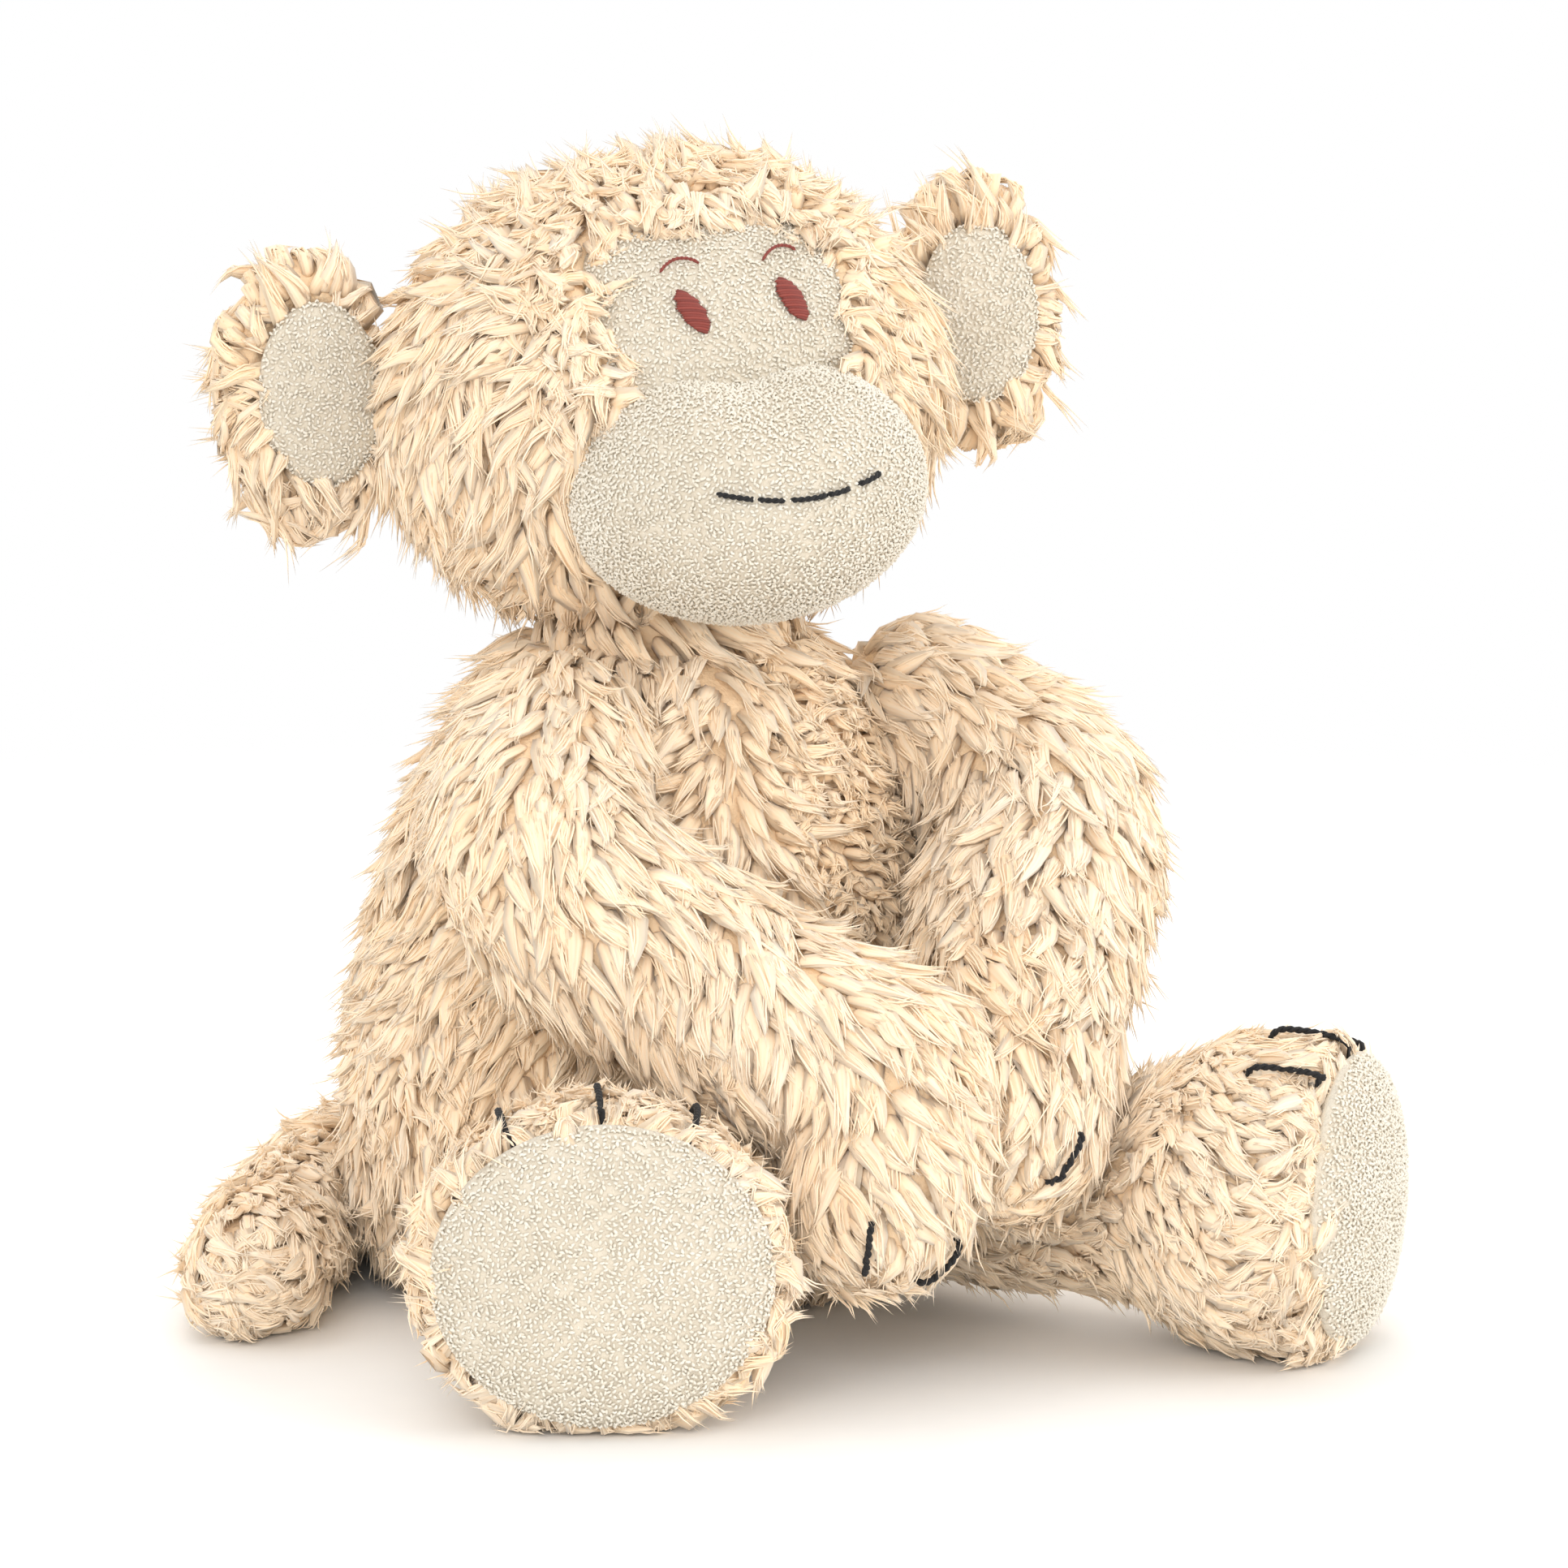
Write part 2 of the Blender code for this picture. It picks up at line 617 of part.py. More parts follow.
def stuffed_limb(name, path, radii, sides, parent, tip_bulge, fill_bulge):
    """A fur cover, open at its root hole or at its flat far end, and the wadding in it."""
    hole = ROOT_HOLE if tip_bulge else 0.0
    rings, start, end = limb_rings(path, radii, sides, root_hole=hole, tip_bulge=tip_bulge)
    skin = loft(f"{name}_cover", rings, None if tip_bulge else start, end if tip_bulge else None)
    cover = add_object(f"{name}_cover", skin, FUR, parent)
    thicken(cover, COVER)
    fill, start, end = limb_rings(path, radii, sides, inset=fill_inset, tip_bulge=fill_bulge)
    stuffing = add_object(f"{name}_stuffing", loft(f"{name}_stuffing", fill, start, end), WADDING, parent)
    return cover, stuffing, rings


def stitch_along(name, rings, column, length, parent):
    """A stitch that follows one column of a limb's rings back from the last one, just clear of it."""
    points = []
    done = 0.0
    for k in range(len(rings) - 1, -1, -1):
        p = rings[k][column]
        middle = sum(rings[k], Vector()) / len(rings[k])
        point = p + (p - middle).normalized() * (STITCH_RADIUS + GAP)
        if points:
            run = (point - points[-1]).length
            if done + run > length:
                points.append(points[-1].lerp(point, (length - done) / run))
                break
            done += run
        points.append(point)
    thread(name, points, STITCH_RADIUS, BLACK_THREAD, parent)


path_steps = 2
finger_columns = (6, 8)
for side, shoulder, stations, wrist, hand in (
    ("right", RIGHT_SHOULDER, RIGHT_ARM, RIGHT_WRIST, RIGHT_HAND),
    ("left", LEFT_SHOULDER, LEFT_ARM, LEFT_WRIST, LEFT_HAND),
):
    route = [shoulder, *stations, wrist, hand]
    pivot = around_torso(*shoulder[:3])
    bend = around_torso(*wrist[:3])
    path = smooth_path([around_torso(*s[:3]) for s in route], path_steps)
    arm_count = path_steps * (len(stations) + 1) + 1
    shoulder_joint = joint_empty(f"{side}_shoulder_joint", pivot)
    arm_path = [p - pivot for p in path[:arm_count]]
    arm_radii = [(r, r) for r in spread([s[3] for s in route[:-1]], arm_count)]
    arm_cover, arm_stuffing, rings = stuffed_limb(
        f"{side}_arm", arm_path, arm_radii, ARM_SIDES, shoulder_joint, 0.0, 0.0
    )
    wrist_socket = socket(f"{side}_wrist_socket", bend - pivot, WRIST_RADIUS, shoulder_joint)
    cut(arm_cover, wrist_socket)
    cut(arm_stuffing, wrist_socket)
    wrist_joint = joint_empty(f"{side}_wrist_joint", bend - pivot, shoulder_joint)
    hand_path = [p - bend for p in path[arm_count - 1 :]]
    hand_radii = [(r, r) for r in spread([WRIST_RADIUS, WRIST_TUBE, HAND_RADIUS], len(hand_path))]
    hand_cover, hand_stuffing, rings = stuffed_limb(
        f"{side}_hand", hand_path, hand_radii, ARM_SIDES, wrist_joint, HAND_RADIUS, HAND_RADIUS - fill_inset
    )
    for number, column in enumerate(finger_columns, 1):
        stitch_along(f"{side}_finger_stitch_{number}", rings, column, FINGER_STITCH, wrist_joint)
    shoulder_socket = socket(f"{side}_shoulder_socket", pivot, SHOULDER_RADIUS)
    cut(torso_cover, shoulder_socket)
    cut(torso_stuffing, shoulder_socket)


def foot_size(back):
    """A leg's half width and half height at a distance back from its sole."""
    if back >= ANKLE_BACK:
        return LEG_RADIUS, LEG_RADIUS
    if back <= FOOT_BACK:
        bulge = math.sin(0.5 * math.pi * back / FOOT_BACK)
        wide = SOLE_WIDTH + (FOOT_WIDTH - SOLE_WIDTH) * bulge
        tall = SOLE_HEIGHT + (FOOT_HEIGHT - SOLE_HEIGHT) * bulge
        return wide / 2, tall / 2
    wide = smooth_through([(FOOT_BACK, FOOT_WIDTH / 2), (ANKLE_BACK, LEG_RADIUS)], back)
    tall = smooth_through([(FOOT_BACK, FOOT_HEIGHT / 2), (ANKLE_BACK, LEG_RADIUS)], back)
    return wide, tall


def sole_dome(rim, frame, inset, count=4):
    """Rings of a foot's domed sole, from its rim towards its middle, and the dome's middle."""
    ahead, side, up = frame
    wide, tall = SOLE_WIDTH / 2 - inset, SOLE_HEIGHT / 2 - inset
    rings = []
    for k in range(count):
        polar = 0.5 * math.pi * k / count
        place = rim + ahead * (SOLE_BULGE - inset) * math.sin(polar)
        rings.append(ring(place, side, up, wide * math.cos(polar), tall * math.cos(polar), LEG_SIDES))
    return rings, rim + ahead * (SOLE_BULGE - inset)


foot_rise = FOOT_HEIGHT / 2 + FLOOR_GAP
for side, sign, length, headings in (
    ("right", -1, RIGHT_LEG_LENGTH, RIGHT_LEG_HEADING),
    ("left", 1, LEFT_LEG_LENGTH, LEFT_LEG_HEADING),
):
    pivot = around_torso(HIP_JOINT_HEIGHT, sign * HIP_JOINT_ANGLE, HIP_JOINT_OUT)
    hip_joint = joint_empty(f"{side}_hip_joint", pivot)
    leg_steps = 10
    stride = length / leg_steps
    path = [Vector((0, 0, 0))]
    for k in range(leg_steps):
        share = (k + 0.5) / leg_steps
        path.append(path[-1] + heading(headings[0] + (headings[1] - headings[0]) * share) * stride)
    for k, p in enumerate(path):
        ease = 0.5 - 0.5 * math.cos(math.pi * k / leg_steps)
        p.z = (foot_rise - pivot.z) * ease
    radii = [foot_size(length - stride * k) for k in range(leg_steps + 1)]
    radii[0] = (HIP_RADIUS, HIP_RADIUS)
    leg_cover, leg_stuffing, rings = stuffed_limb(
        f"{side}_leg", path, radii, LEG_SIDES, hip_joint, 0.0, SOLE_BULGE - TERRY - FILL_GAP
    )
    hip_socket = socket(f"{side}_hip_socket", pivot, HIP_RADIUS)
    cut(torso_cover, hip_socket)
    cut(torso_stuffing, hip_socket)

    frame = frames_along(path)[-1]
    rim = path[-1] + frame[0] * GAP
    lining, lining_tip = sole_dome(rim, frame, TERRY)
    face_rings, face_tip = sole_dome(rim, frame, 0.0)
    sole_skin = loft(f"{side}_sole", [*reversed(lining), *face_rings], lining_tip, face_tip)
    add_object(f"{side}_sole", sole_skin, TERRY_CLOTH, hip_joint)
    quarter = LEG_SIDES // 4
    top_column = quarter if rings[-1][quarter].z > rings[-1][3 * quarter].z else 3 * quarter
    for number, step in enumerate((-1, 0, 1), 1):
        column = (top_column + step) % LEG_SIDES
        stitch_along(f"{side}_toe_stitch_{number}", rings, column, TOE_STITCH, hip_joint)

# Tail

tail_floor = TAIL_RADIUS + FLOOR_GAP
tail_pivot = around_torso(TAIL_ROOT_HEIGHT, *TAIL_ROOT)
tail_joint = joint_empty("tail_joint", tail_pivot)
tail_points = [tail_pivot]
for number, station in enumerate(TAIL_ROUTE, 1):
    drop = 0.5 - 0.5 * math.cos(math.pi * number / len(TAIL_ROUTE))
    place = around_torso(TAIL_ROOT_HEIGHT, *station)
    place.z = TAIL_ROOT_HEIGHT + (tail_floor - TAIL_ROOT_HEIGHT) * drop
    tail_points.append(place)
tail_path = [p - tail_pivot for p in smooth_path(tail_points, path_steps)]
tail_radii = [(TAIL_RADIUS, TAIL_RADIUS)] * len(tail_path)
stuffed_limb("tail", tail_path, tail_radii, TAIL_SIDES, tail_joint, TAIL_RADIUS, TAIL_RADIUS - fill_inset)
tail_socket = socket("tail_socket", tail_pivot, TAIL_RADIUS)
cut(torso_cover, tail_socket)
cut(torso_stuffing, tail_socket)
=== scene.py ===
# %% [markdown]
# # A stuffed monkey in cream fur
# The monkey sits on the floor with its hands together in its lap. Its body, head, arms, legs, tail and ears
# are bags of long-pile cotton fur, packed with wadding. The muzzle, the face, the ears and the soles are
# terry, a short looped cloth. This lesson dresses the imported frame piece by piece, in the order in which a
# maker would sew: the bags and their filling first, then the pile, then the stitches.

# %% Load the frame
import json
import math

import bmesh
import bpy
import numpy as np
from mathutils import Euler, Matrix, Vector
from mathutils.bvhtree import BVHTree
from mathutils.kdtree import KDTree

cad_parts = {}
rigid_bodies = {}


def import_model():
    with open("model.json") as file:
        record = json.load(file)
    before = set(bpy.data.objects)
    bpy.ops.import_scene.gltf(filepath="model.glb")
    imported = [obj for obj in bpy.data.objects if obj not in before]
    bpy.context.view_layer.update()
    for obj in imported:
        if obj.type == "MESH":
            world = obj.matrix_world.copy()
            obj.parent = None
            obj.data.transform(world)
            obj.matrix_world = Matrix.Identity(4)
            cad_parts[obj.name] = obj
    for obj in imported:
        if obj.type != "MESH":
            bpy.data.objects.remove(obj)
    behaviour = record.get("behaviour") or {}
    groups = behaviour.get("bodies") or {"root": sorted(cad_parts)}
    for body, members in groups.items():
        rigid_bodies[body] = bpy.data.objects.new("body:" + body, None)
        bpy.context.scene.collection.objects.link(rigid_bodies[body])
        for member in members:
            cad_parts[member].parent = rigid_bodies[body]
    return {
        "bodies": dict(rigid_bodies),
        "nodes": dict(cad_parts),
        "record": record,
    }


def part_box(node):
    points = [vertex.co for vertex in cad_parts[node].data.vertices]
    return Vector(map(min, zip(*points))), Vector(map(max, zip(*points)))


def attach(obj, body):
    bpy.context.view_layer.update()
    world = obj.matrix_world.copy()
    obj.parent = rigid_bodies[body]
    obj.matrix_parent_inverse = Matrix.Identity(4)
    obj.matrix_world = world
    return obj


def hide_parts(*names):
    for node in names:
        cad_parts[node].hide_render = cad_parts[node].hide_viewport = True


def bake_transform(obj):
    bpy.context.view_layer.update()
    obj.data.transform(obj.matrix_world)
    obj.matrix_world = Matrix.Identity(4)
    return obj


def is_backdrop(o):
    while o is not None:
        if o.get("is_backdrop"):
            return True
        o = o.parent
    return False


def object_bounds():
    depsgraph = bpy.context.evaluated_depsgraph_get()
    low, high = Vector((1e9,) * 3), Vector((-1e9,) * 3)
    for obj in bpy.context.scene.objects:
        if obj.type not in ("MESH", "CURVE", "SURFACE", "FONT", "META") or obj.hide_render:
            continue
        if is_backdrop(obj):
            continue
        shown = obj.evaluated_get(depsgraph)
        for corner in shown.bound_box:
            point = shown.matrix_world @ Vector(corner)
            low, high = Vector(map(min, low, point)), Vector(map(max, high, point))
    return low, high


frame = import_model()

cad_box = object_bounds()
scene = bpy.context.scene
scene.view_settings.view_transform = "Standard"
pivots = {joint["name"]: Vector(joint["pos_m"]) for joint in frame["record"]["behaviour"]["joints"]}
print("bodies:", ", ".join(frame["bodies"]))

# %% [markdown]
# ## Camera
# The photograph was taken from a little above and from the monkey's right. A long lens keeps the limbs from
# growing towards the viewer, as a product photograph does.

# %% Camera
CAMERA_PLACE = Vector((-0.63375, -1.42723, 0.37000))
CAMERA_AIM = Vector((0.03411, 0.00501, 0.11971))
LENS_MM = 149.07

lens = bpy.data.cameras.new("camera")
lens.lens = LENS_MM
lens.sensor_width = 36.0
camera = bpy.data.objects.new("camera", lens)
camera.location = CAMERA_PLACE
camera.rotation_euler = (CAMERA_AIM - CAMERA_PLACE).to_track_quat("-Z", "Y").to_euler()
scene.collection.objects.link(camera)
scene.camera = camera
print("camera", round((CAMERA_AIM - CAMERA_PLACE).length, 2), "m away")

# %% [markdown]
# ## Shader sums
# A finish is a small sum over what is known at a point: where it is, how far along a strand it lies, which
# strand it is on. Wiring each sum by hand hides the sum, so one class wraps a socket and lets Python's own
# signs add the Math nodes. Every other node comes from one method.

# %% Shader sums
class Wire:
    """A socket that carries a value. Sums on it add Math nodes."""

    def __init__(self, nodes, socket):
        self.nodes = nodes
        self.socket = socket

    def sum(self, operation, first, second):
        return self.nodes.add("ShaderNodeMath", {"operation": operation}, {0: first, 1: second})

    def __add__(self, other):
        return self.sum("ADD", self, other)

    __radd__ = __add__

    def __mul__(self, other):
        return self.sum("MULTIPLY", self, other)

    __rmul__ = __mul__

    def __sub__(self, other):
        return self.sum("SUBTRACT", self, other)

    def __rsub__(self, other):
        return self.sum("SUBTRACT", other, self)

    def __pow__(self, other):
        return self.sum("POWER", self, other)


class Nodes:
    """The nodes of one material or of the world."""

    def __init__(self, tree):
        self.tree = tree

    def add(self, kind, settings, sockets, output=0):
        made = self.tree.nodes.new(kind)
        for name, value in settings.items():
            setattr(made, name, value)
        for name, value in sockets.items():
            self.join(made.inputs[name], value)
        return Wire(self, made.outputs[output])

    def join(self, socket, value):
        if isinstance(value, Wire):
            self.tree.links.new(value.socket, socket)
        else:
            socket.default_value = value

    def mix(self, share, first, second):
        sockets = {0: share, 6: first, 7: second}
        return self.add("ShaderNodeMix", {"data_type": "RGBA"}, sockets, output=2)

    def noise(self, scale, detail=2.0):
        place = self.add("ShaderNodeNewGeometry", {}, {})
        return self.add("ShaderNodeTexNoise", {}, {"Vector": place, "Scale": scale, "Detail": detail})

    def attribute(self, name):
        return self.add("ShaderNodeAttribute", {"attribute_name": name}, {}, output=2)

    def bump(self, height, distance, strength=1.0):
        return self.add("ShaderNodeBump", {}, {"Height": height, "Distance": distance, "Strength": strength})


def finish(name, constants):
    """A new material's nodes and its shader, with the sockets that stay the same all over set on it."""
    material = bpy.data.materials.new(name)
    material.use_nodes = True
    nodes = Nodes(material.node_tree)
    nodes.material = material
    nodes.shader = material.node_tree.nodes["Principled BSDF"]
    for socket, value in constants.items():
        nodes.shader.inputs[socket].default_value = value
    return nodes


def colour(red, green, blue):
    return (red, green, blue, 1.0)


print("shader sums ready")

# %% [markdown]
# ## Light and floor
# The picture has the flat, friendly light of a catalogue: one big soft lamp on the left, a weaker one on
# the right, two more above and behind, and pale surroundings. A single lamp would throw hard shadows
# between the locks. The floor is a pale disc that fades out, so it keeps the soft shadow under the monkey,
# and beyond it the camera sees plain white.

# %% Light
LIGHT_AIM = Vector((0.0, 0.0, 0.12))
# Each lamp's place, size in metres and power in watts
LAMPS = {
    "key": ((-1.1, -1.8, 0.9), 1.3, 17.0),
    "fill": ((1.5, -1.5, 0.7), 1.3, 13.0),
    "top": ((0.2, 0.6, 2.0), 1.2, 5.0),
    "back": ((0.5, 1.9, 0.9), 1.4, 11.0),
}
SURROUND = 1.02

for name, (place, size, watts) in LAMPS.items():
    lamp = bpy.data.lights.new(name, "AREA")
    lamp.shape = "DISK"
    lamp.size = size
    lamp.energy = watts
    holder = bpy.data.objects.new(name, lamp)
    holder.location = place
    holder.rotation_euler = (LIGHT_AIM - Vector(place)).to_track_quat("-Z", "Y").to_euler()
    scene.collection.objects.link(holder)

world = bpy.data.worlds.new("studio")
scene.world = world
world.use_nodes = True
sky = Nodes(world.node_tree)
path = world.node_tree.nodes.new("ShaderNodeLightPath")
seen = sum(
    (Wire(sky, path.outputs[ray]) for ray in ("Is Glossy Ray", "Is Transmission Ray")),
    Wire(sky, path.outputs["Is Camera Ray"]),
)
surround = sky.add("ShaderNodeBackground", {}, {"Color": colour(1.0, 0.985, 0.96), "Strength": SURROUND})
white = sky.add("ShaderNodeBackground", {}, {"Color": colour(1.0, 1.0, 1.0), "Strength": 1.0})
shown = sky.add("ShaderNodeMixShader", {}, {0: seen, 1: surround, 2: white})
sky.join(world.node_tree.nodes["World Output"].inputs["Surface"], shown)
print(len(LAMPS), "lamps")

# %% Floor
FLOOR_RADIUS = 0.9
FLOOR_SOLID = 0.25
FLOOR_SPOKES = 96
FLOOR_DROP = 0.0004
PAPER_GRAIN = 90.0

floor_mesh = bmesh.new()
bmesh.ops.create_circle(floor_mesh, cap_ends=True, segments=FLOOR_SPOKES, radius=FLOOR_RADIUS)
floor_data = bpy.data.meshes.new("floor")
floor_mesh.to_mesh(floor_data)
floor_mesh.free()
floor = bpy.data.objects.new("floor", floor_data)
floor.location.z = -FLOOR_DROP
scene.collection.objects.link(floor)
floor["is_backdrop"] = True

paper = finish("floor_paper", {"Roughness": 0.9})
place = paper.add("ShaderNodeNewGeometry", {}, {})
from_middle = paper.add("ShaderNodeVectorMath", {"operation": "LENGTH"}, {0: place}, output=1)
fade = {"interpolation_type": "SMOOTHSTEP"}
fade_ends = {"Value": from_middle, 1: FLOOR_SOLID, 2: FLOOR_RADIUS, 3: 1.0, 4: 0.0}
near = paper.add("ShaderNodeMapRange", fade, fade_ends)
grain = paper.noise(PAPER_GRAIN)
white_paper = paper.mix(grain, colour(0.93, 0.925, 0.915), colour(0.955, 0.95, 0.94))
paper.join(paper.shader.inputs["Base Color"], white_paper)
paper.join(paper.shader.inputs["Alpha"], near)
floor_data.materials.append(paper.material)
print("floor", FLOOR_RADIUS, "m")

# %% [markdown]
# ## Finishes
# Cotton fur is cream, and each lock is a slightly different cream. Down at the roots and along every
# groove the finish paints it warmer and darker: painted shade for the warm shadow among the locks. A
# picture wrapped round the toy could show that, but the pile here is real geometry, so its finish only
# needs three numbers that every lock carries: how far along it a point is, the lock's own shade of cream,
# and whether the point is down in a groove. Terry is whiter and greyer, and its loops carry the first two
# numbers; the finish paints their feet darker, as painted shade down in the pile.

# %% Pile finishes
# How far each groove is painted in the root colour: painted shade down the grooves
GROOVE_PAINTED_SHADE = 0.65


def fur_colours(nodes):
    """Cream tips, with painted shade: warmer, darker roots and a warmer line down every groove."""
    along = nodes.attribute("along")
    shade = nodes.attribute("shade")
    tip = nodes.mix(shade, colour(0.975, 0.81, 0.60), colour(0.975, 0.885, 0.765))
    # The root colour is painted shade: warmer and darker, as the warm shadow down among the locks
    root = nodes.mix(shade, colour(0.98, 0.70, 0.42), colour(0.985, 0.785, 0.56))
    fibre = nodes.mix(along**0.5, root, tip)
    painted_groove_shade = nodes.attribute("groove") * GROOVE_PAINTED_SHADE
    nodes.join(nodes.shader.inputs["Base Color"], nodes.mix(painted_groove_shade, fibre, root))
    return nodes.material


def loop_colours(nodes):
    """Off-white crests on slightly darker, warmer feet, which are painted shade down in the pile."""
    along = nodes.attribute("along")
    shade = nodes.attribute("shade")
    crest = nodes.mix(shade, colour(0.775, 0.715, 0.60), colour(0.86, 0.815, 0.725))
    # The feet's darker, warmer colour is painted shade down in the pile
    foot_painted_shade = nodes.mix(shade, colour(0.70, 0.625, 0.505), colour(0.785, 0.725, 0.615))
    nodes.join(nodes.shader.inputs["Base Color"], nodes.mix(along, foot_painted_shade, crest))
    return nodes.material


fur_sheen = {"Roughness": 0.85, "Sheen Weight": 0.25, "Sheen Roughness": 0.5}
fur_pile = fur_colours(finish("cream_fur_pile", fur_sheen))
terry_sheen = {"Roughness": 0.9, "Sheen Weight": 0.2, "Sheen Roughness": 0.5}
terry_pile = loop_colours(finish("terry_pile", terry_sheen))
print(len(bpy.data.materials), "materials with the floor's")

# %% [markdown]
# ## Cloth and thread
# The backing under the pile and the ground under the loops are knitted cloth, and the filling is loose
# white wadding. Their yarns are too fine to model, so two close colours in a fine grain stand for them,
# with a little relief. The backing is painted a warm tan and the ground a darker off-white than the loops:
# painted shade for the shadow between the locks and under the loops. The features are sewn in rust and
# black thread, and the seam in cream.

# %% Cloth finishes
BLOTCHES = 12.0


def cloth_finish(name, dark, light, scale, depth):
    """A woven or knitted cloth: two close colours in a fine grain, with a matching relief."""
    nodes = finish(name, {"Roughness": 0.95, "Sheen Weight": 0.15})
    grain = nodes.noise(scale, 3.0)
    blotch = nodes.noise(scale / BLOTCHES)
    nodes.join(nodes.shader.inputs["Base Color"], nodes.mix(grain * 0.6 + blotch * 0.4, dark, light))
    nodes.join(nodes.shader.inputs["Normal"], nodes.bump(grain, depth))
    return nodes.material


# The backing's warm tan is painted shade, so that the gaps between the locks look like warm shadow
backing_shade_tan = colour(0.94, 0.68, 0.42), colour(0.97, 0.78, 0.55)
backing = cloth_finish("fur_backing", *backing_shade_tan, 900.0, 0.0006)
# The ground is darker than the loops' crests: painted shade under the loops
terry_ground_shade = colour(0.68, 0.605, 0.485), colour(0.77, 0.705, 0.595)
terry_cloth = cloth_finish("terry_ground", *terry_ground_shade, 1100.0, 0.0006)
cool_white = colour(0.80, 0.80, 0.78), colour(0.93, 0.93, 0.91)
wadding = cloth_finish("wadding_fibre", *cool_white, 500.0, 0.0012)
print("cloths:", backing.name, terry_cloth.name, wadding.name)

# %% Thread finishes
THREAD_GRAIN = 2500.0


def thread_finish(name, dark, light, roughness, sheen):
    """Sewing thread, each thread or ply in a slightly different tone, in a fine grain."""
    nodes = finish(name, {"Roughness": roughness, "Sheen Weight": sheen})
    shade = nodes.attribute("shade")
    fibre = nodes.noise(THREAD_GRAIN)
    nodes.join(nodes.shader.inputs["Base Color"], nodes.mix(shade * 0.6 + fibre * 0.4, dark, light))
    return nodes.material


rust = colour(0.13, 0.018, 0.013), colour(0.33, 0.058, 0.04)
rust_thread = thread_finish("rust_sewing_thread", *rust, 0.6, 0.05)
black = colour(0.004, 0.004, 0.005), colour(0.022, 0.021, 0.022)
black_thread = thread_finish("black_yarn", *black, 0.85, 0.05)
cream = colour(0.62, 0.46, 0.30), colour(0.80, 0.66, 0.48)
cream_thread = thread_finish("cream_sewing_thread", *cream, 0.7, 0.2)
print(len(bpy.data.materials), "materials")

# %% [markdown]
# ## Meshes from arrays
# The pile has more than a hundred thousand locks, strands and loops, so it is worked out in arrays and
# handed to Blender in one go. A lock, a stray strand, a terry loop and a sewing thread are all the same
# thing at different sizes: a thin closed tube along a path. One function makes a whole bundle of them as a
# mesh. Curves with a bevel would give such tubes too, but they carry no numbers of their own for the finish.

# %% Meshes from arrays
def unit(vectors):
    return vectors / np.maximum(np.linalg.norm(vectors, axis=-1, keepdims=True), 1e-9)


def dots(first, second):
    return np.sum(first * second, axis=-1, keepdims=True)


def points_of(mesh):
    flat = np.empty(len(mesh.vertices) * 3, np.float32)
    mesh.vertices.foreach_get("co", flat)
    return flat.reshape(-1, 3).astype(float)


def set_points(mesh, places):
    mesh.vertices.foreach_set("co", places.astype(np.float32).ravel())


def rounded(mesh):
    """Shades every face of a mesh smoothly."""
    mesh.polygons.foreach_set("use_smooth", np.ones(len(mesh.polygons), bool))


def node_points(*names):
    return np.concatenate([points_of(frame["nodes"][name].data) for name in names])


def piece(name, mesh, material=None):
    """A new object for a mesh, linked to the scene."""
    made = bpy.data.objects.new(name, mesh)
    scene.collection.objects.link(made)
    if material:
        mesh.materials.append(material)
    return made


print(len(frame["nodes"]), "nodes to dress")

# %% Tubes
FLOOR_CLEAR = 0.0003


def tube_points(paths, radii, ups, sides, flat, groove, twist):
    """The points of tubes along paths: a point at each end, and a ring at each station between."""
    tubes = len(paths)
    ahead = unit(np.gradient(paths, axis=1))[:, 1:-1]
    side = unit(np.cross(ahead, ups[:, None, :]))
    top = np.cross(side, ahead)
    if twist is not None:
        swing = twist[:, 1:-1, None]
        side, top = side * np.cos(swing) + top * np.sin(swing), top * np.cos(swing) - side * np.sin(swing)
    turn = 2.0 * np.pi * np.arange(sides) / sides + 0.5 * np.pi
    ridge = 1.0 - groove * (np.arange(sides) % 2)
    uneven = 1.0 + 0.5 * groove * np.random.default_rng(tubes).normal(size=(tubes, 1, sides, 1))
    wheel = side[:, :, None] * np.cos(turn)[:, None] + flat * top[:, :, None] * np.sin(turn)[:, None]
    wheel = wheel * ridge[:, None] * uneven
    rings = paths[:, 1:-1, None] + radii[:, 1:-1, None, None] * wheel
    places = np.concatenate([paths[:, :1], rings.reshape(tubes, -1, 3), paths[:, -1:]], axis=1)
    places[:, :, 2] = np.maximum(places[:, :, 2], FLOOR_CLEAR)
    return places


def tube_faces(sides, stations):
    """The faces of one tube: each corner's station, its turn round the tube and its point, and where each
    face starts."""
    spoke = np.arange(sides)
    root = np.stack([np.zeros(sides), np.ones(sides), np.ones(sides)], axis=1)
    turns = np.stack([spoke + 0.5, spoke, spoke + 1.0], axis=1)
    bands = np.repeat(np.arange(1, stations - 2), sides)[:, None] + np.array([0, 1, 1, 0])
    quads = np.tile(spoke, stations - 3)[:, None] + np.array([0, 0, 1, 1])
    tip = np.stack([np.full(sides, stations - 1), *[np.full(sides, stations - 2)] * 2], axis=1)
    station = np.concatenate([root.ravel(), bands.ravel(), tip.ravel()]).astype(int)
    around = np.concatenate([turns.ravel(), quads.ravel(), turns[:, [0, 2, 1]].ravel()])
    corner = np.where(station == 0, 0, 1 + (station - 1) * sides + around.astype(int) % sides)
    corner = np.where(station == stations - 1, 1 + (stations - 2) * sides, corner)
    lengths = np.concatenate([np.full(sides, 3), np.full(len(bands), 4), np.full(sides, 3)])
    starts = np.concatenate([[0], np.cumsum(lengths)[:-1]])
    return station, around, corner, starts


print("a tube of 4 sides and 5 stations has", len(tube_faces(4, 5)[3]), "faces")

# %% Bundles of tubes
SHADES = 64
COLUMN_HEIGHT = 0.25


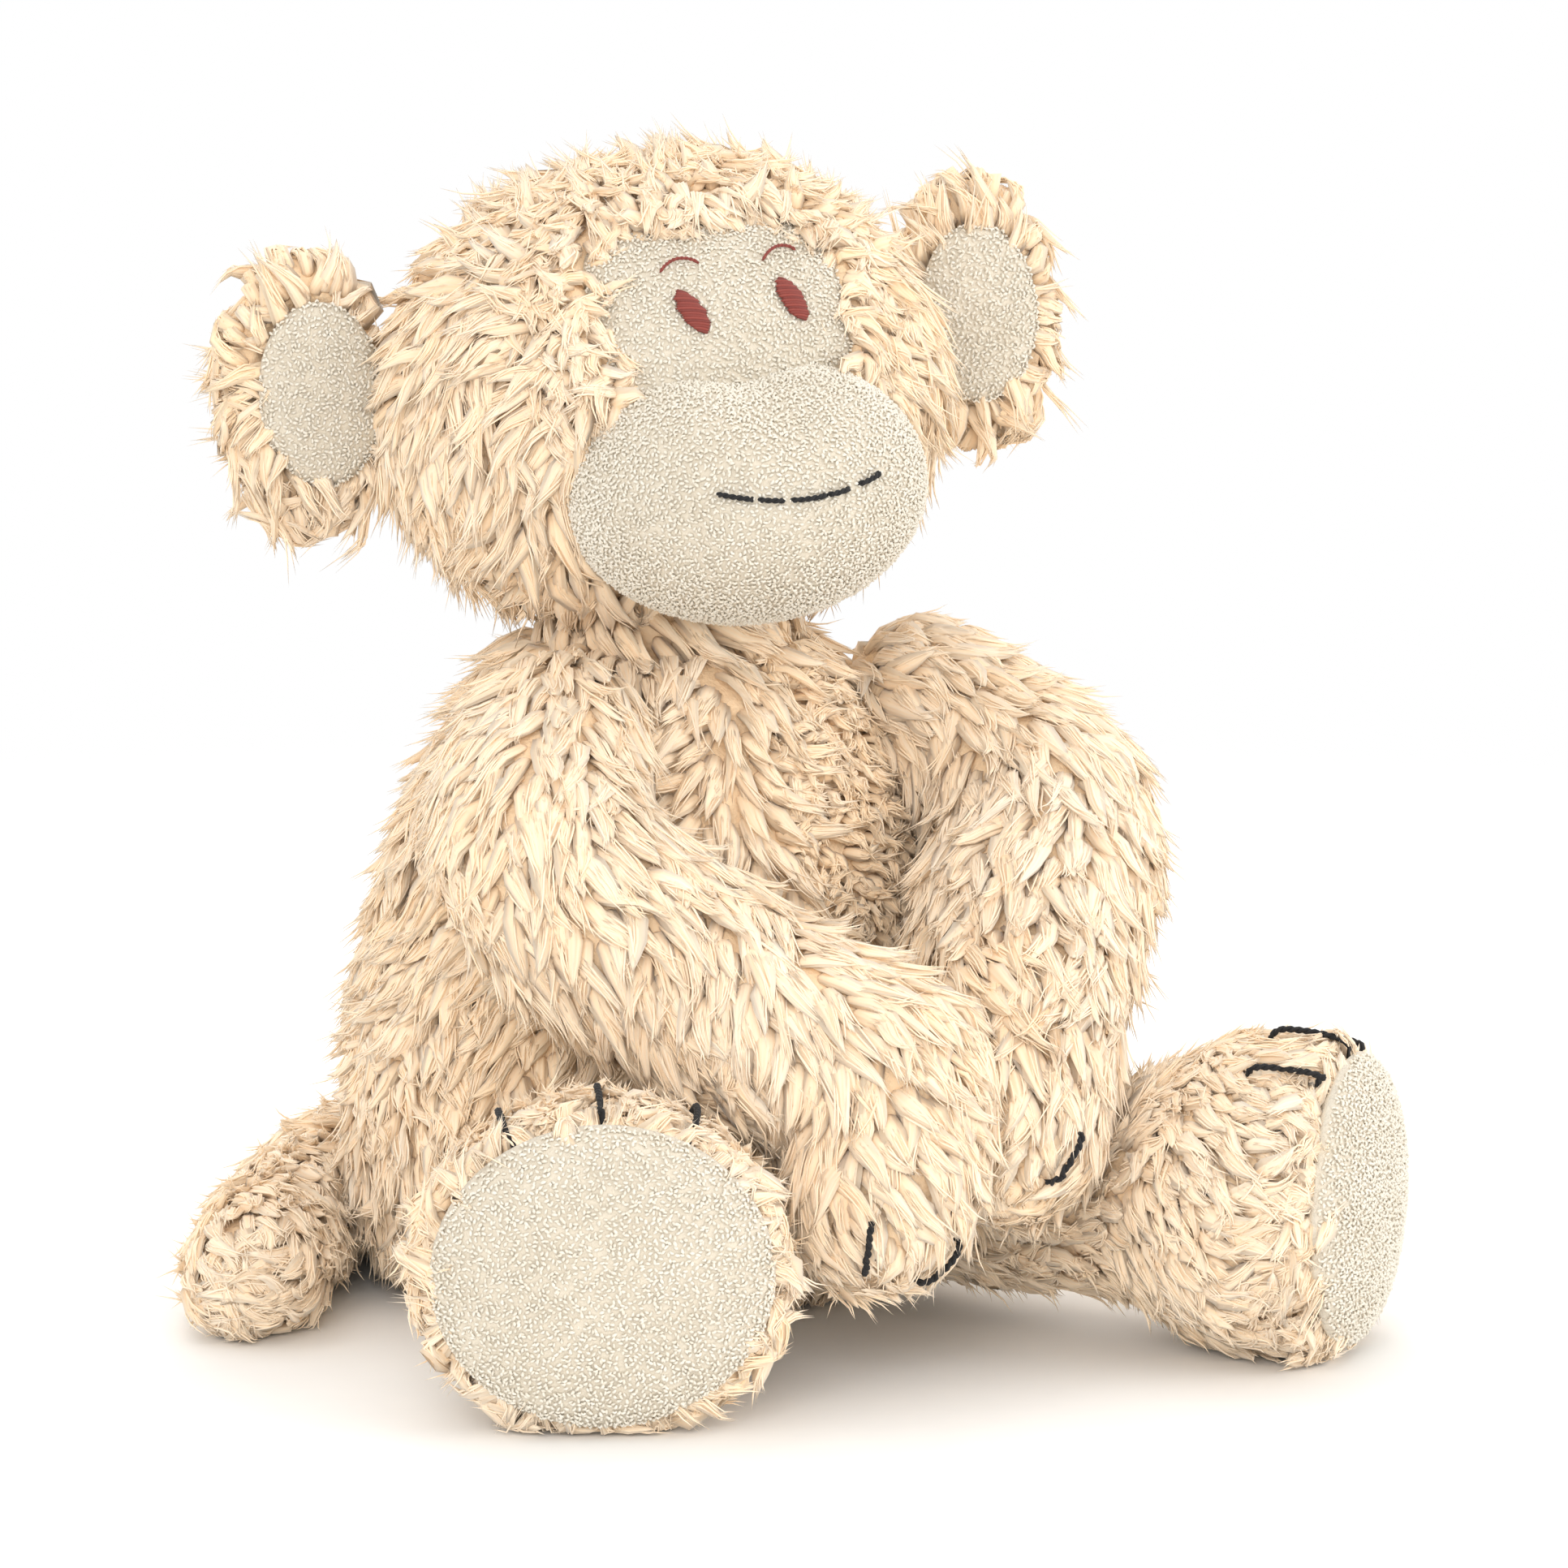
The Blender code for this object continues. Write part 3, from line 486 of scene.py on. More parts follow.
def bundle(name, paths, radii, ups, sides, along, shade, material, flat=1.0, groove=0.0, twist=None):
    """Thin closed tubes with pointed ends, as one object. paths is tubes by stations by 3; radii and along
    are tubes by stations. The first and last stations are the points, and have no radius. ups says which
    way is up for each tube. flat squeezes a tube, groove cuts in every other spoke, and twist turns its
    rings. along and shade are what the finish reads. Nothing goes below the floor."""
    tubes, stations = paths.shape[:2]
    places = tube_points(paths, radii, ups, sides, flat, groove, twist)
    each = places.shape[1]
    station, around, corner, starts = tube_faces(sides, stations)
    first = np.arange(tubes)[:, None]
    mesh = bpy.data.meshes.new(name)
    mesh.vertices.add(tubes * each)
    set_points(mesh, places)
    mesh.loops.add(tubes * len(corner))
    mesh.loops.foreach_set("vertex_index", (first * each + corner).astype(np.int32).ravel())
    mesh.polygons.add(tubes * len(starts))
    mesh.polygons.foreach_set("loop_start", (first * len(corner) + starts).astype(np.int32).ravel())
    rounded(mesh)

    # Each shade has a column of the OFBake map, and a tube lies along it
    level = np.clip((shade * SHADES).astype(int), 0, SHADES - 1)
    column = (level[:, None] + 0.1 + 0.8 * around / sides) / SHADES
    spots = np.stack([column, along[:, station] * COLUMN_HEIGHT], axis=-1)
    mesh.uv_layers.new(name="OFBake").data.foreach_set("uv", spots.astype(np.float32).ravel())
    inner = np.repeat(along[:, 1:-1], sides, axis=1)
    # The finish paints the points in the grooves warmer and darker: painted shade down the grooves
    grooves = np.concatenate([[0.5], np.tile(np.arange(sides) % 2, stations - 2), [0.5]])
    numbers = {
        "along": np.concatenate([along[:, :1], inner, along[:, -1:]], axis=1),
        "shade": np.repeat((level + 0.5) / SHADES, each),
        "groove": np.tile(grooves, tubes),
    }
    for key, values in numbers.items():
        carried = mesh.attributes.new(key, "FLOAT", "POINT")
        carried.data.foreach_set("value", values.astype(np.float32).ravel())
    mesh.update(calc_edges=True)
    return piece(name, mesh, material)


print("tube bundles ready")

# %% [markdown]
# ## Skins
# A skin is the fabric bag of one limb, without its pile. The frame holds each bag as a hollow cover with
# its filling inside. Both are melted into one closed lump by a voxel remesh, smoothed, and let out by a few
# millimetres, because smoothing shrinks it. The neck is let out furthest, to close the gap between head and
# torso, and the thin ears are drawn in a little. Then the cloth is blown up from inside with a short
# simulation, as the wadding does on the real toy, and one subdivision rounds it off. Sculpted bags would
# look as good, but they would not follow the frame.

# %% Lumps
SMOOTHING = 8
SMOOTHING_PULL = 0.5


def applied(obj):
    """Gives an object the mesh that its modifiers leave, and clears them."""
    bpy.context.view_layer.update()
    ready = obj.evaluated_get(bpy.context.evaluated_depsgraph_get())
    mesh = bpy.data.meshes.new_from_object(ready)
    old = obj.data
    obj.modifiers.clear()
    obj.data = mesh
    bpy.data.meshes.remove(old)
    return obj


def biggest_island(form):
    """Removes every loose island of a bmesh apart from the one with the most points."""
    todo = set(form.verts)
    islands = []
    while todo:
        island = {todo.pop()}
        edge = list(island)
        while edge:
            near = {e.other_vert(v) for v in edge for e in v.link_edges} - island
            island |= near
            edge = list(near)
        todo -= island
        islands.append(island)
    islands.sort(key=len)
    for island in islands[:-1]:
        bmesh.ops.delete(form, geom=list(island), context="VERTS")


def lump(name, nodes, voxel, draw_in):
    """One smooth closed lump round some CAD nodes, drawn in along its normals, or let out below zero."""
    form = bmesh.new()
    for node in nodes:
        form.from_mesh(frame["nodes"][node].data)
    mesh = bpy.data.meshes.new(name)
    form.to_mesh(mesh)
    form.free()
    made = piece(name, mesh)
    melt = made.modifiers.new("melt", "REMESH")
    melt.mode = "VOXEL"
    melt.voxel_size = voxel
    applied(made)
    form = bmesh.new()
    form.from_mesh(made.data)
    biggest_island(form)
    every_way = {f"use_axis_{axis}": True for axis in "xyz"}
    for _ in range(SMOOTHING):
        bmesh.ops.smooth_vert(form, verts=form.verts, factor=SMOOTHING_PULL, **every_way)
    form.normal_update()
    moves = [(v, v.normal * draw_in) for v in form.verts]
    for v, move in moves:
        v.co -= move
    form.to_mesh(made.data)
    form.free()
    return made


print("lumps are smoothed", SMOOTHING, "times")

# %% Skins
SIM_FRAMES = 20
SIM_PRESSURE = 4.0
SIM_QUALITY = 4


def plump(skin, cap):
    """Blows a skin up from inside, by no more than cap anywhere, and rests it on the floor."""
    before = points_of(skin.data)
    blow = skin.modifiers.new("blow", "CLOTH")
    blow.settings.use_pressure = True
    blow.settings.uniform_pressure_force = SIM_PRESSURE
    blow.settings.effector_weights.gravity = 0.0
    blow.settings.quality = SIM_QUALITY
    for number in range(1, SIM_FRAMES + 1):
        scene.frame_set(number)
    applied(skin)
    scene.frame_set(1)
    move = points_of(skin.data) - before
    far = np.linalg.norm(move, axis=1, keepdims=True)
    set_points(skin.data, before + move * np.minimum(1.0, cap / np.maximum(far, 1e-9)))
    rounder = skin.modifiers.new("rounder", "SUBSURF")
    rounder.levels = 1
    rounder.render_levels = 1
    applied(skin)
    places = points_of(skin.data)
    places[:, 2] = np.maximum(places[:, 2], FLOOR_CLEAR)
    set_points(skin.data, places)
    rounded(skin.data)
    skin.data.update()
    return skin


SIDES = ("right", "left")
BODY_VOXEL = 0.005
LIMB_VOXEL = 0.004
EAR_VOXEL = 0.0025
# Each bag's CAD nodes, its voxel, how far it is drawn in, and how far it may be blown up
BAGS = {
    "torso": (["torso_cover", "torso_stuffing"], BODY_VOXEL, -0.0017, 0.003),
    "head": (["head_cover", "head_stuffing", "face_panel"], BODY_VOXEL, -0.002, 0.002),
    "neck": (["neck_stuffing"], LIMB_VOXEL, -0.008, 0.001),
    "tail": (["tail_cover", "tail_stuffing"], LIMB_VOXEL, -0.0017, 0.002),
}
PAIRED_BAGS = {
    "arm": (["arm_cover", "arm_stuffing", "hand_cover", "hand_stuffing"], LIMB_VOXEL, -0.0036, 0.002),
    "leg": (["leg_cover", "leg_stuffing", "sole"], LIMB_VOXEL, -0.0007, 0.002),
    "ear": (["ear_back", "ear_inner"], EAR_VOXEL, 0.0005, 0.001),
}
for side in SIDES:
    for limb, (nodes, *sizes) in PAIRED_BAGS.items():
        BAGS[f"{side}_{limb}"] = [f"{side}_{node}" for node in nodes], *sizes
skins = {}
for form, (nodes, voxel, draw_in, cap) in BAGS.items():
    skins[form] = plump(lump(f"{form}_skin", nodes, voxel, draw_in), cap)
print({form: len(skin.data.polygons) for form, skin in skins.items()})

# %% [markdown]
# ## Which way a form runs
# Fur lies along a limb, so each limb needs its own line down the middle. It could be drawn by hand as a
# curve, but then it would not follow the frame. The distance from its joint puts the points of a limb in
# order, and the mean of each slice of them gives the line.

# %% Which way a form runs
SLICES = 9


class Middle:
    """The line down the middle of a limb, from the joint that carries it to its end."""

    def __init__(self, start, points):
        self.start = np.array(start)
        far = np.linalg.norm(points - self.start, axis=1)
        self.stops = np.linspace(far.min(), far.max(), SLICES)
        reach = self.stops[1] - self.stops[0]
        line = [points[np.abs(far - stop) < reach].mean(axis=0) for stop in self.stops]
        self.ahead = unit(np.gradient(np.array(line), axis=0))

    def share(self, points):
        """How far along the limb places are: 0 at the joint, 1 at the end."""
        return np.linalg.norm(points - self.start, axis=1) / self.stops[-1]

    def run(self, points):
        """Which way the limb runs beside places."""
        far = self.share(points) * self.stops[-1]
        return np.stack([np.interp(far, self.stops, self.ahead[:, k]) for k in range(3)], axis=1)


middles = {"tail": Middle(pivots["tail_swing"], points_of(skins["tail"].data))}
for side in SIDES:
    middles[f"{side}_arm"] = Middle(pivots[f"{side}_arm_raise"], points_of(skins[f"{side}_arm"].data))
    middles[f"{side}_leg"] = Middle(pivots[f"{side}_leg_spread"], points_of(skins[f"{side}_leg"].data))
print({name: round(float(middle.stops[-1]), 3) for name, middle in middles.items()})

# %% The wrist
WRIST_FOLD = 0.012


def across_wrist(obj, side):
    """Bakes a piece of an arm's place into its mesh. The way across the wrist is worked out but not used."""
    wrist = np.array(pivots[f"{side}_hand_lift"])
    forearm = wrist - node_points(f"{side}_arm_stuffing").mean(axis=0)
    palm = node_points(f"{side}_hand_stuffing").mean(axis=0) - wrist
    ahead = unit(unit(forearm) + unit(palm))
    wrist - ahead * WRIST_FOLD
    wrist + ahead * WRIST_FOLD
    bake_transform(obj)


print("the wrists fold over", 2.0 * WRIST_FOLD, "m")

# %% [markdown]
# ## Wadding
# Inside every bag is loose polyester wadding. It never shows, but the part holds it, so it is made in the
# simplest way that keeps its shape: each filling is a lump like its bag's, drawn in further and pushed
# about by a slow wave, as handfuls of fibre pack together.

# %% Slow waves
WAVES = 7
WAVE_SUM = 2.6


def waves(points, size, seed):
    """Smooth noise of about -1 to 1 over places in space, as a sum of seeded sine waves."""
    draw = np.random.default_rng(seed)
    total = np.zeros(len(points))
    for _ in range(WAVES):
        wave = unit(draw.normal(size=3)) * 2.0 * np.pi / (size * draw.uniform(0.7, 1.8))
        total += np.sin(points @ wave + draw.uniform(0.0, 2.0 * np.pi))
    return total / WAVE_SUM


def normals_of(mesh):
    flat = np.empty(len(mesh.vertices) * 3, np.float32)
    mesh.vertex_normals.foreach_get("vector", flat)
    return flat.reshape(-1, 3).astype(float)


print("sums of", WAVES, "waves")

# %% Wadding
LUMP_SIZE = 0.018
LUMP_DEPTH = 0.0012
# The body that carries each wad, and how far it is drawn in
WADS = {"torso": ("torso", 0.002), "neck": ("neck", 0.001), "head": ("head", 0.002)}
WADS |= {"muzzle": ("head", 0.002), "tail": ("tail", 0.001)}
LEG_DRAW = 0.003
ARM_DRAW = 0.002


def filling(form, nodes, draw_in, seed):
    """The wadding of one bag."""
    made = lump(f"{form}_wadding", nodes, LIMB_VOXEL, draw_in)
    places = points_of(made.data)
    places += normals_of(made.data) * (waves(places, LUMP_SIZE, seed) * LUMP_DEPTH)[:, None]
    set_points(made.data, places)
    rounded(made.data)
    made.data.materials.append(wadding)
    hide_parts(*nodes)
    return made


for seed, (form, (body, draw_in)) in enumerate(WADS.items(), 1):
    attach(filling(form, [f"{form}_stuffing"], draw_in, seed), body)
for number, side in enumerate(SIDES):
    leg = f"{side}_leg"
    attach(filling(leg, [f"{leg}_stuffing"], LEG_DRAW, 6 + number), leg)
    sleeve = [f"{side}_arm_stuffing", f"{side}_hand_stuffing"]
    across_wrist(filling(f"{side}_arm", sleeve, ARM_DRAW, 8 + number), side)

# %% [markdown]
# ## The head's own axes
# The face is laid out in the head's own axes, because the head is turned and tipped a little. The head and
# the muzzle are treated as balls here, which is simpler than searching their meshes for every stitch. Their
# middles and half sizes are the CAD model's own, and the boxes of the two covers are printed to check them.

# %% The head's own axes
HEAD_TILT = Euler((0.0, math.radians(-5.0), math.radians(-5.0)))
HEAD_TURNED = np.array(HEAD_TILT.to_matrix())
HEAD_PLACE = np.array(pivots["head_turn"])


def into_head(points):
    return (points - HEAD_PLACE) @ HEAD_TURNED


def out_of_head(points):
    return points @ HEAD_TURNED.T + HEAD_PLACE


def middle_and_half(points):
    low, high = points.min(axis=0), points.max(axis=0)
    return (low + high) / 2.0, (high - low) / 2.0


HEAD_MIDDLE = np.array([0.006, 0.0, 0.054])
HEAD_HALF = np.array([0.069, 0.056, 0.053])
MUZZLE_MIDDLE = HEAD_MIDDLE + np.array([0.0, -0.050, -0.018])
MUZZLE_HALF = np.array([0.043, 0.043, 0.032])
FACE_MIDDLE = HEAD_MIDDLE + np.array([0.0, 0.0, 0.024])
FACE_HALF = np.array([0.031, 0.020])
BALL_EDGE = 0.01


def on_ball(middle, half, x, z, lift):
    """Points on the front of a ball at x and z in the head's axes, raised by lift, and its normals there."""
    flat = ((x - middle[0]) / half[0]) ** 2 + ((z - middle[2]) / half[2]) ** 2
    y = middle[1] - half[1] * np.sqrt(np.maximum(1.0 - flat, BALL_EDGE))
    points = np.stack([x, y, z], axis=-1)
    normal = unit((points - middle) / half**2)
    return out_of_head(points + normal * np.asarray(lift)[..., None]), normal @ HEAD_TURNED.T


def face_power(local, room=1.0):
    """How far out from the middle of the face places are: 1 on the rim of its rounded oblong."""
    beside = np.abs(local[:, 0] - FACE_MIDDLE[0]) / (FACE_HALF[0] * room)
    above = np.abs(local[:, 2] - FACE_MIDDLE[2]) / (FACE_HALF[1] * room)
    return beside**4 + above**4


print("head", middle_and_half(into_head(node_points("head_cover"))))
print("muzzle", middle_and_half(into_head(node_points("muzzle_cover"))))

# %% [markdown]
# ## Terry pieces
# The muzzle is a stuffed terry ball with a dip at the bridge of the nose, so it has two cheeks. The face,
# the inner ears and the soles are flatter pieces. A cut and thickened grid would leave ragged rims, so all
# of them are built the same way: a middle, rings of points out to a rim, and a back face.

# %% Terry pads
TERRY_PILE = 0.0009


def pad(name, surface, rings, spokes, thick):
    """A closed terry pad of rings round a middle. surface gives the points and normals for shares out from
    the middle and angles round it."""
    share = np.repeat(np.linspace(0.0, 1.0, rings + 1)[1:], spokes)
    angle = np.tile(2.0 * np.pi * np.arange(spokes) / spokes, rings)
    share, angle = np.append(0.0, share), np.append(0.0, angle)
    front, normal = surface(share, angle)
    back = front - normal * thick
    form = bmesh.new()
    layers = [[form.verts.new(p) for p in layer] for layer in (front, back)]

    def spot(layer, ring, spoke):
        return layers[layer][0 if ring == 0 else 1 + (ring - 1) * spokes + spoke % spokes]

    for spoke in range(spokes):
        for layer in (0, 1):
            form.faces.new([spot(layer, 0, 0), spot(layer, 1, spoke), spot(layer, 1, spoke + 1)])
            for ring in range(1, rings):
                corners = [(ring, spoke), (ring + 1, spoke), (ring + 1, spoke + 1), (ring, spoke + 1)]
                form.faces.new([spot(layer, *corner) for corner in corners])
        rim = [(0, rings, spoke), (1, rings, spoke), (1, rings, spoke + 1), (0, rings, spoke + 1)]
        form.faces.new([spot(*corner) for corner in rim])
    bmesh.ops.recalc_face_normals(form, faces=form.faces)
    mesh = bpy.data.meshes.new(name)
    form.to_mesh(mesh)
    form.free()
    rounded(mesh)
    return piece(name, mesh, terry_cloth)


terries = {}


def sewn_terry(form, made, body, node):
    """Hands a terry pad to the frame, and keeps it for its loops."""
    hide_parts(node)
    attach(made, body)
    terries[form] = made


print("terry pile", TERRY_PILE, "m")

# %% Face and muzzle
DIP_DEPTH = 0.20
DIP_WIDTH = 0.38
MUZZLE_WRAP = math.radians(128.0)


def face_surface(share, angle):
    """The front of the head inside a rounded oblong."""
    corner = (np.abs(np.cos(angle)) ** 4 + np.abs(np.sin(angle)) ** 4) ** -0.25
    x = FACE_MIDDLE[0] + FACE_HALF[0] * share * corner * np.cos(angle)
    z = FACE_MIDDLE[2] + FACE_HALF[1] * share * corner * np.sin(angle)
    return on_ball(HEAD_MIDDLE, HEAD_HALF, x, z, -TERRY_PILE)


def muzzle_surface(share, angle):
    """A ball on the front of the head, dipped at the bridge of the nose."""
    polar = share * MUZZLE_WRAP
    dip = 1.0 - DIP_DEPTH * np.exp(-(((angle - 0.5 * np.pi) / DIP_WIDTH) ** 2)) * np.sin(polar) ** 2
    lean = np.stack([np.sin(polar) * np.cos(angle), -np.cos(polar), np.sin(polar) * np.sin(angle)], axis=1)
    half = MUZZLE_HALF - TERRY_PILE
    points = MUZZLE_MIDDLE + lean * half * dip[:, None]
    return out_of_head(points), unit(lean / half) @ HEAD_TURNED.T


sewn_terry("face", pad("face_panel_terry", face_surface, 16, 64, 0.002), "head", "face_panel")
sewn_terry("muzzle", pad("muzzle_terry", muzzle_surface, 26, 72, 0.002), "head", "muzzle_cover")
print("the muzzle is", len(terries["muzzle"].data.polygons), "faces")

# %% Inner ears
EAR_PROUD = 0.0015
EAR_PATCH_SIZE = np.array([1.11, 1.0, 0.92])
EAR_TUCK = 0.0015
EAR_DOME = 0.97


def ear_patch(side):
    """The middle and half size of an ear's terry, in the head's axes. It is tucked in towards the head."""
    middle, half = middle_and_half(into_head(node_points(f"{side}_ear_inner")))
    inward = np.sign(HEAD_MIDDLE[0] - middle[0])
    return middle + [inward * EAR_TUCK, 0.0, 0.0], half * EAR_PATCH_SIZE


def ear_surface(side):
    """The surface of one inner ear, a shallow dome."""
    middle, half = ear_patch(side)

    def surface(share, angle):
        forward = -np.sqrt(1.0 - EAR_DOME * share**2)
        lean = np.stack([share * np.cos(angle), forward, share * np.sin(angle)], axis=1)
        points = middle + lean * half - [0.0, EAR_PROUD, 0.0]
        return out_of_head(points), unit(lean / half) @ HEAD_TURNED.T

    return surface


print("the right inner ear is", 2.0 * ear_patch("right")[1].round(4), "m")

# %% Soles
SOLE_SPREAD = 1.04
SOLE_FULLNESS = 2.6
SOLE_EDGE = 0.6
SOLE_SLOPE = 0.9


class Sole:
    """Where a foot's sole is: its rim's middle, its axes and its half sizes."""

    def __init__(self, side):
        points = node_points(f"{side}_sole")
        spread = np.linalg.svd(points - points.mean(axis=0), full_matrices=False)[2]
        ahead = spread[2]
        hip = np.array(pivots[f"{side}_leg_spread"])
        self.ahead = ahead * np.sign(np.dot(ahead, points.mean(axis=0) - hip))
        self.across = unit(np.cross(self.ahead, [0.0, 0.0, 1.0]))
        self.up = np.cross(self.across, self.ahead)
        axes = np.stack([self.across, self.up, self.ahead])
        middle, half = middle_and_half(points @ axes.T)
        self.bulge = 2.0 * half[2]
        self.rim = (middle - [0.0, 0.0, half[2]]) @ axes
        self.half = half[:2] * SOLE_SPREAD

    def surface(self, share, angle):
        """A full dome that drops to the rim at its edge."""
        x, z = self.half[0] * share * np.cos(angle), self.half[1] * share * np.sin(angle)
        dome = (1.0 - share**SOLE_FULLNESS) ** SOLE_EDGE
        rise = self.bulge * dome - TERRY_PILE
        points = self.rim + x[:, None] * self.across + z[:, None] * self.up + rise[:, None] * self.ahead
        slope = SOLE_SLOPE * share**3
        outward = np.cos(angle)[:, None] * self.across + np.sin(angle)[:, None] * self.up
        return points, unit(self.ahead + outward * slope[:, None])


soles = {side: Sole(side) for side in SIDES}
for side in SIDES:
    ear, sole = f"{side}_ear", f"{side}_sole"
    sewn_terry(ear, pad(f"{ear}_terry", ear_surface(side), 10, 40, 0.0015), ear, f"{ear}_inner")
    sewn_terry(sole, pad(f"{sole}_terry", soles[side].surface, 18, 64, 0.003), f"{side}_leg", sole)
print(len(terries), "terry pieces")

# %% [markdown]
# ## Room under the terry
# Terry is sewn into a window in the fur, so the bag lies lower there. Cutting real windows would leave open
# edges, so each bag is pressed in under its terry. The head is also a little slimmer at the left cheek than
# its CAD ball.

# %% Room under the terry
PRESS = 0.006
FACE_SOFT_EDGE = (0.8, 1.3)
SOLE_ROOM = 0.006
EAR_ROOM = 0.5
EAR_SOFT_EDGE = (0.9, 1.2)
CHEEK_DRAW = 0.7
CHEEK_SIDE = (0.3, 1.0)


def smooth(values, low, high):
    share = np.clip((values - low) / (high - low), 0.0, 1.0)
    return share * share * (3.0 - 2.0 * share)


def press(skin, share, way=None):
    """Presses a skin in along its normals, or along a way, by a share of PRESS at each point."""
    places = points_of(skin.data)
    inward = -normals_of(skin.data) if way is None else np.asarray(way)
    places += inward * (share(places) * PRESS)[:, None]
    set_points(skin.data, places)
    skin.data.update()


def under_face(points):
    local = into_head(points)
    inside = 1.0 - smooth(face_power(local), *FACE_SOFT_EDGE)
    return np.where(local[:, 1] < HEAD_MIDDLE[1], inside, 0.0)


def under_sole(side):
    sole = soles[side]
    return lambda points: smooth((points - sole.rim) @ sole.ahead, -SOLE_ROOM, 0.0)


def under_patch(side):
    middle, half = ear_patch(side)

    def share(points):
        local = (into_head(points) - middle) / half
        inside = 1.0 - smooth(local[:, 0] ** 2 + local[:, 2] ** 2, *EAR_SOFT_EDGE)
        return EAR_ROOM * inside * (local[:, 1] < 0.5)

    return share


def left_cheek(points):
    local = (into_head(points) - HEAD_MIDDLE) / HEAD_HALF
    return CHEEK_DRAW * smooth(local[:, 0], *CHEEK_SIDE)


press(skins["head"], left_cheek)
press(skins["head"], under_face)
for side in SIDES:
    press(skins[f"{side}_leg"], under_sole(side), -soles[side].ahead)
    press(skins[f"{side}_ear"], under_patch(side))
print("pressed in by up to", PRESS, "m")

# %% Bags on their bodies
def on(body):
    return lambda made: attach(made, body)


def on_arm(side):
    return lambda made: across_wrist(made, side)


def stuffed(form, ride, fill, *nodes):
    """Finishes a skin: its backing, the covers that it stands for and its body. Its filling, fill, is not
    used.
    """
    skin = skins[form]
    skin.data.materials.clear()
    skin.data.materials.append(backing)
    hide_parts(*nodes)
    ride(skin)


stuffed("torso", on("torso"), 0.8, "torso_cover")
stuffed("head", on("head"), 0.85, "head_cover")
stuffed("tail", on("tail"), 0.6, "tail_cover")
for side in SIDES:
    stuffed(f"{side}_ear", on(f"{side}_ear"), 0.3, f"{side}_ear_back")
    stuffed(f"{side}_leg", on(f"{side}_leg"), 0.7, f"{side}_leg_cover")
    stuffed(f"{side}_arm", on_arm(side), 0.6, f"{side}_arm_cover", f"{side}_hand_cover")
stuffed("neck", on("neck"), 0.7)
print(len(skins), "bags on their bodies")

# %% [markdown]
# ## Scattering
# Locks and loops are sewn at points spread evenly over a surface. A regular grid would show as rows, so
# points are thrown at random, in proportion to each triangle's area, and any that land too near an earlier
# one are dropped.

# %% Scattering
THROWS = 5


def point_tree(points):
    """A search tree over points."""
    tree = KDTree(len(points))
    for number, point in enumerate(points):
        tree.insert(point, number)
    tree.balance()
    return tree


def scatter(skin, gap, seed, keep):
    """Points on a mesh at least gap apart where keep allows, with their normals."""
    mesh = skin.data
    mesh.calc_loop_triangles()
    flat = np.empty(len(mesh.loop_triangles) * 3, np.int32)
    mesh.loop_triangles.foreach_get("vertices", flat)
    corners = flat.reshape(-1, 3)
    places, normals = points_of(mesh), normals_of(mesh)
    first, second, third = (places[corners[:, k]] for k in range(3))
    areas = np.linalg.norm(np.cross(second - first, third - first), axis=1) / 2.0
    draw = np.random.default_rng(seed)
    count = int(THROWS * areas.sum() / gap**2)
    pick = draw.choice(len(areas), count, p=areas / areas.sum())
    shares = draw.random((count, 2))
    shares[shares.sum(axis=1) > 1.0] = 1.0 - shares[shares.sum(axis=1) > 1.0]
    shares = np.stack([1.0 - shares.sum(axis=1), shares[:, 0], shares[:, 1]], axis=1)
    points = sum(shares[:, [k]] * places[corners[pick, k]] for k in range(3))
    outs = unit(sum(shares[:, [k]] * normals[corners[pick, k]] for k in range(3)))
    allowed = keep(points, outs)
    points, outs = points[allowed], outs[allowed]
    tree = point_tree(points)
    free = np.ones(len(points), bool)
    for number in range(len(points)):
        if free[number]:
            near = [index for _, index, _ in tree.find_range(points[number], gap)]
            free[near] = False
            free[number] = True
    return points[free], outs[free]


print("about", THROWS, "throws for each place")

# %% Search trees
LINE_OUT = Vector((0.31, -0.22, 0.92)).normalized()
PAST = 1e-5


def face_tree(obj):
    """A search tree over a mesh's faces."""
    mesh = obj.data
    return BVHTree.FromPolygons([v.co for v in mesh.vertices], [p.vertices for p in mesh.polygons])


def buried(points, tree):
    """True for points inside a closed skin: a line out of it crosses the skin an odd number of times."""
    inside = np.zeros(len(points), bool)
    for number, point in enumerate(points):
        spot = Vector(point)
        while spot is not None:
            spot = tree.ray_cast(spot, LINE_OUT)[0]
            if spot is not None:
                inside[number] ^= True
                spot += LINE_OUT * PAST
    return inside


def nearest(tree, points):
    """The nearest points on a skin, and its normals there."""
    found = [tree.find_nearest(point)[:2] for point in points]
    return np.array([spot for spot, _ in found]), np.array([normal for _, normal in found])


trees = {form: face_tree(skin) for form, skin in skins.items()}
print(len(trees), "search trees")

# %% [markdown]
# ## Locks of fur
# The pile hangs in flat pointed locks of fine strands that cling together. First every lock gets a spine:
# it leaves the skin, is carried forward along the way the fur lies, and is held at its own height over the
# skin, so that locks overlap like shingles. Then a flat spindle with grooves along it is laid on the spine,
# which looks like a bundle of strands for far fewer faces, and a few loose strands lie over it and stand
# out at its tip. Particle hair would be quicker to write, but it doesn't leave the scene as a mesh.

# %% Spines
SPINE = 7
ROOT_DEPTH = 0.0008
QUICK_RISE = 2.2
DOWN = np.array([0.0, 0.0, -1.0])


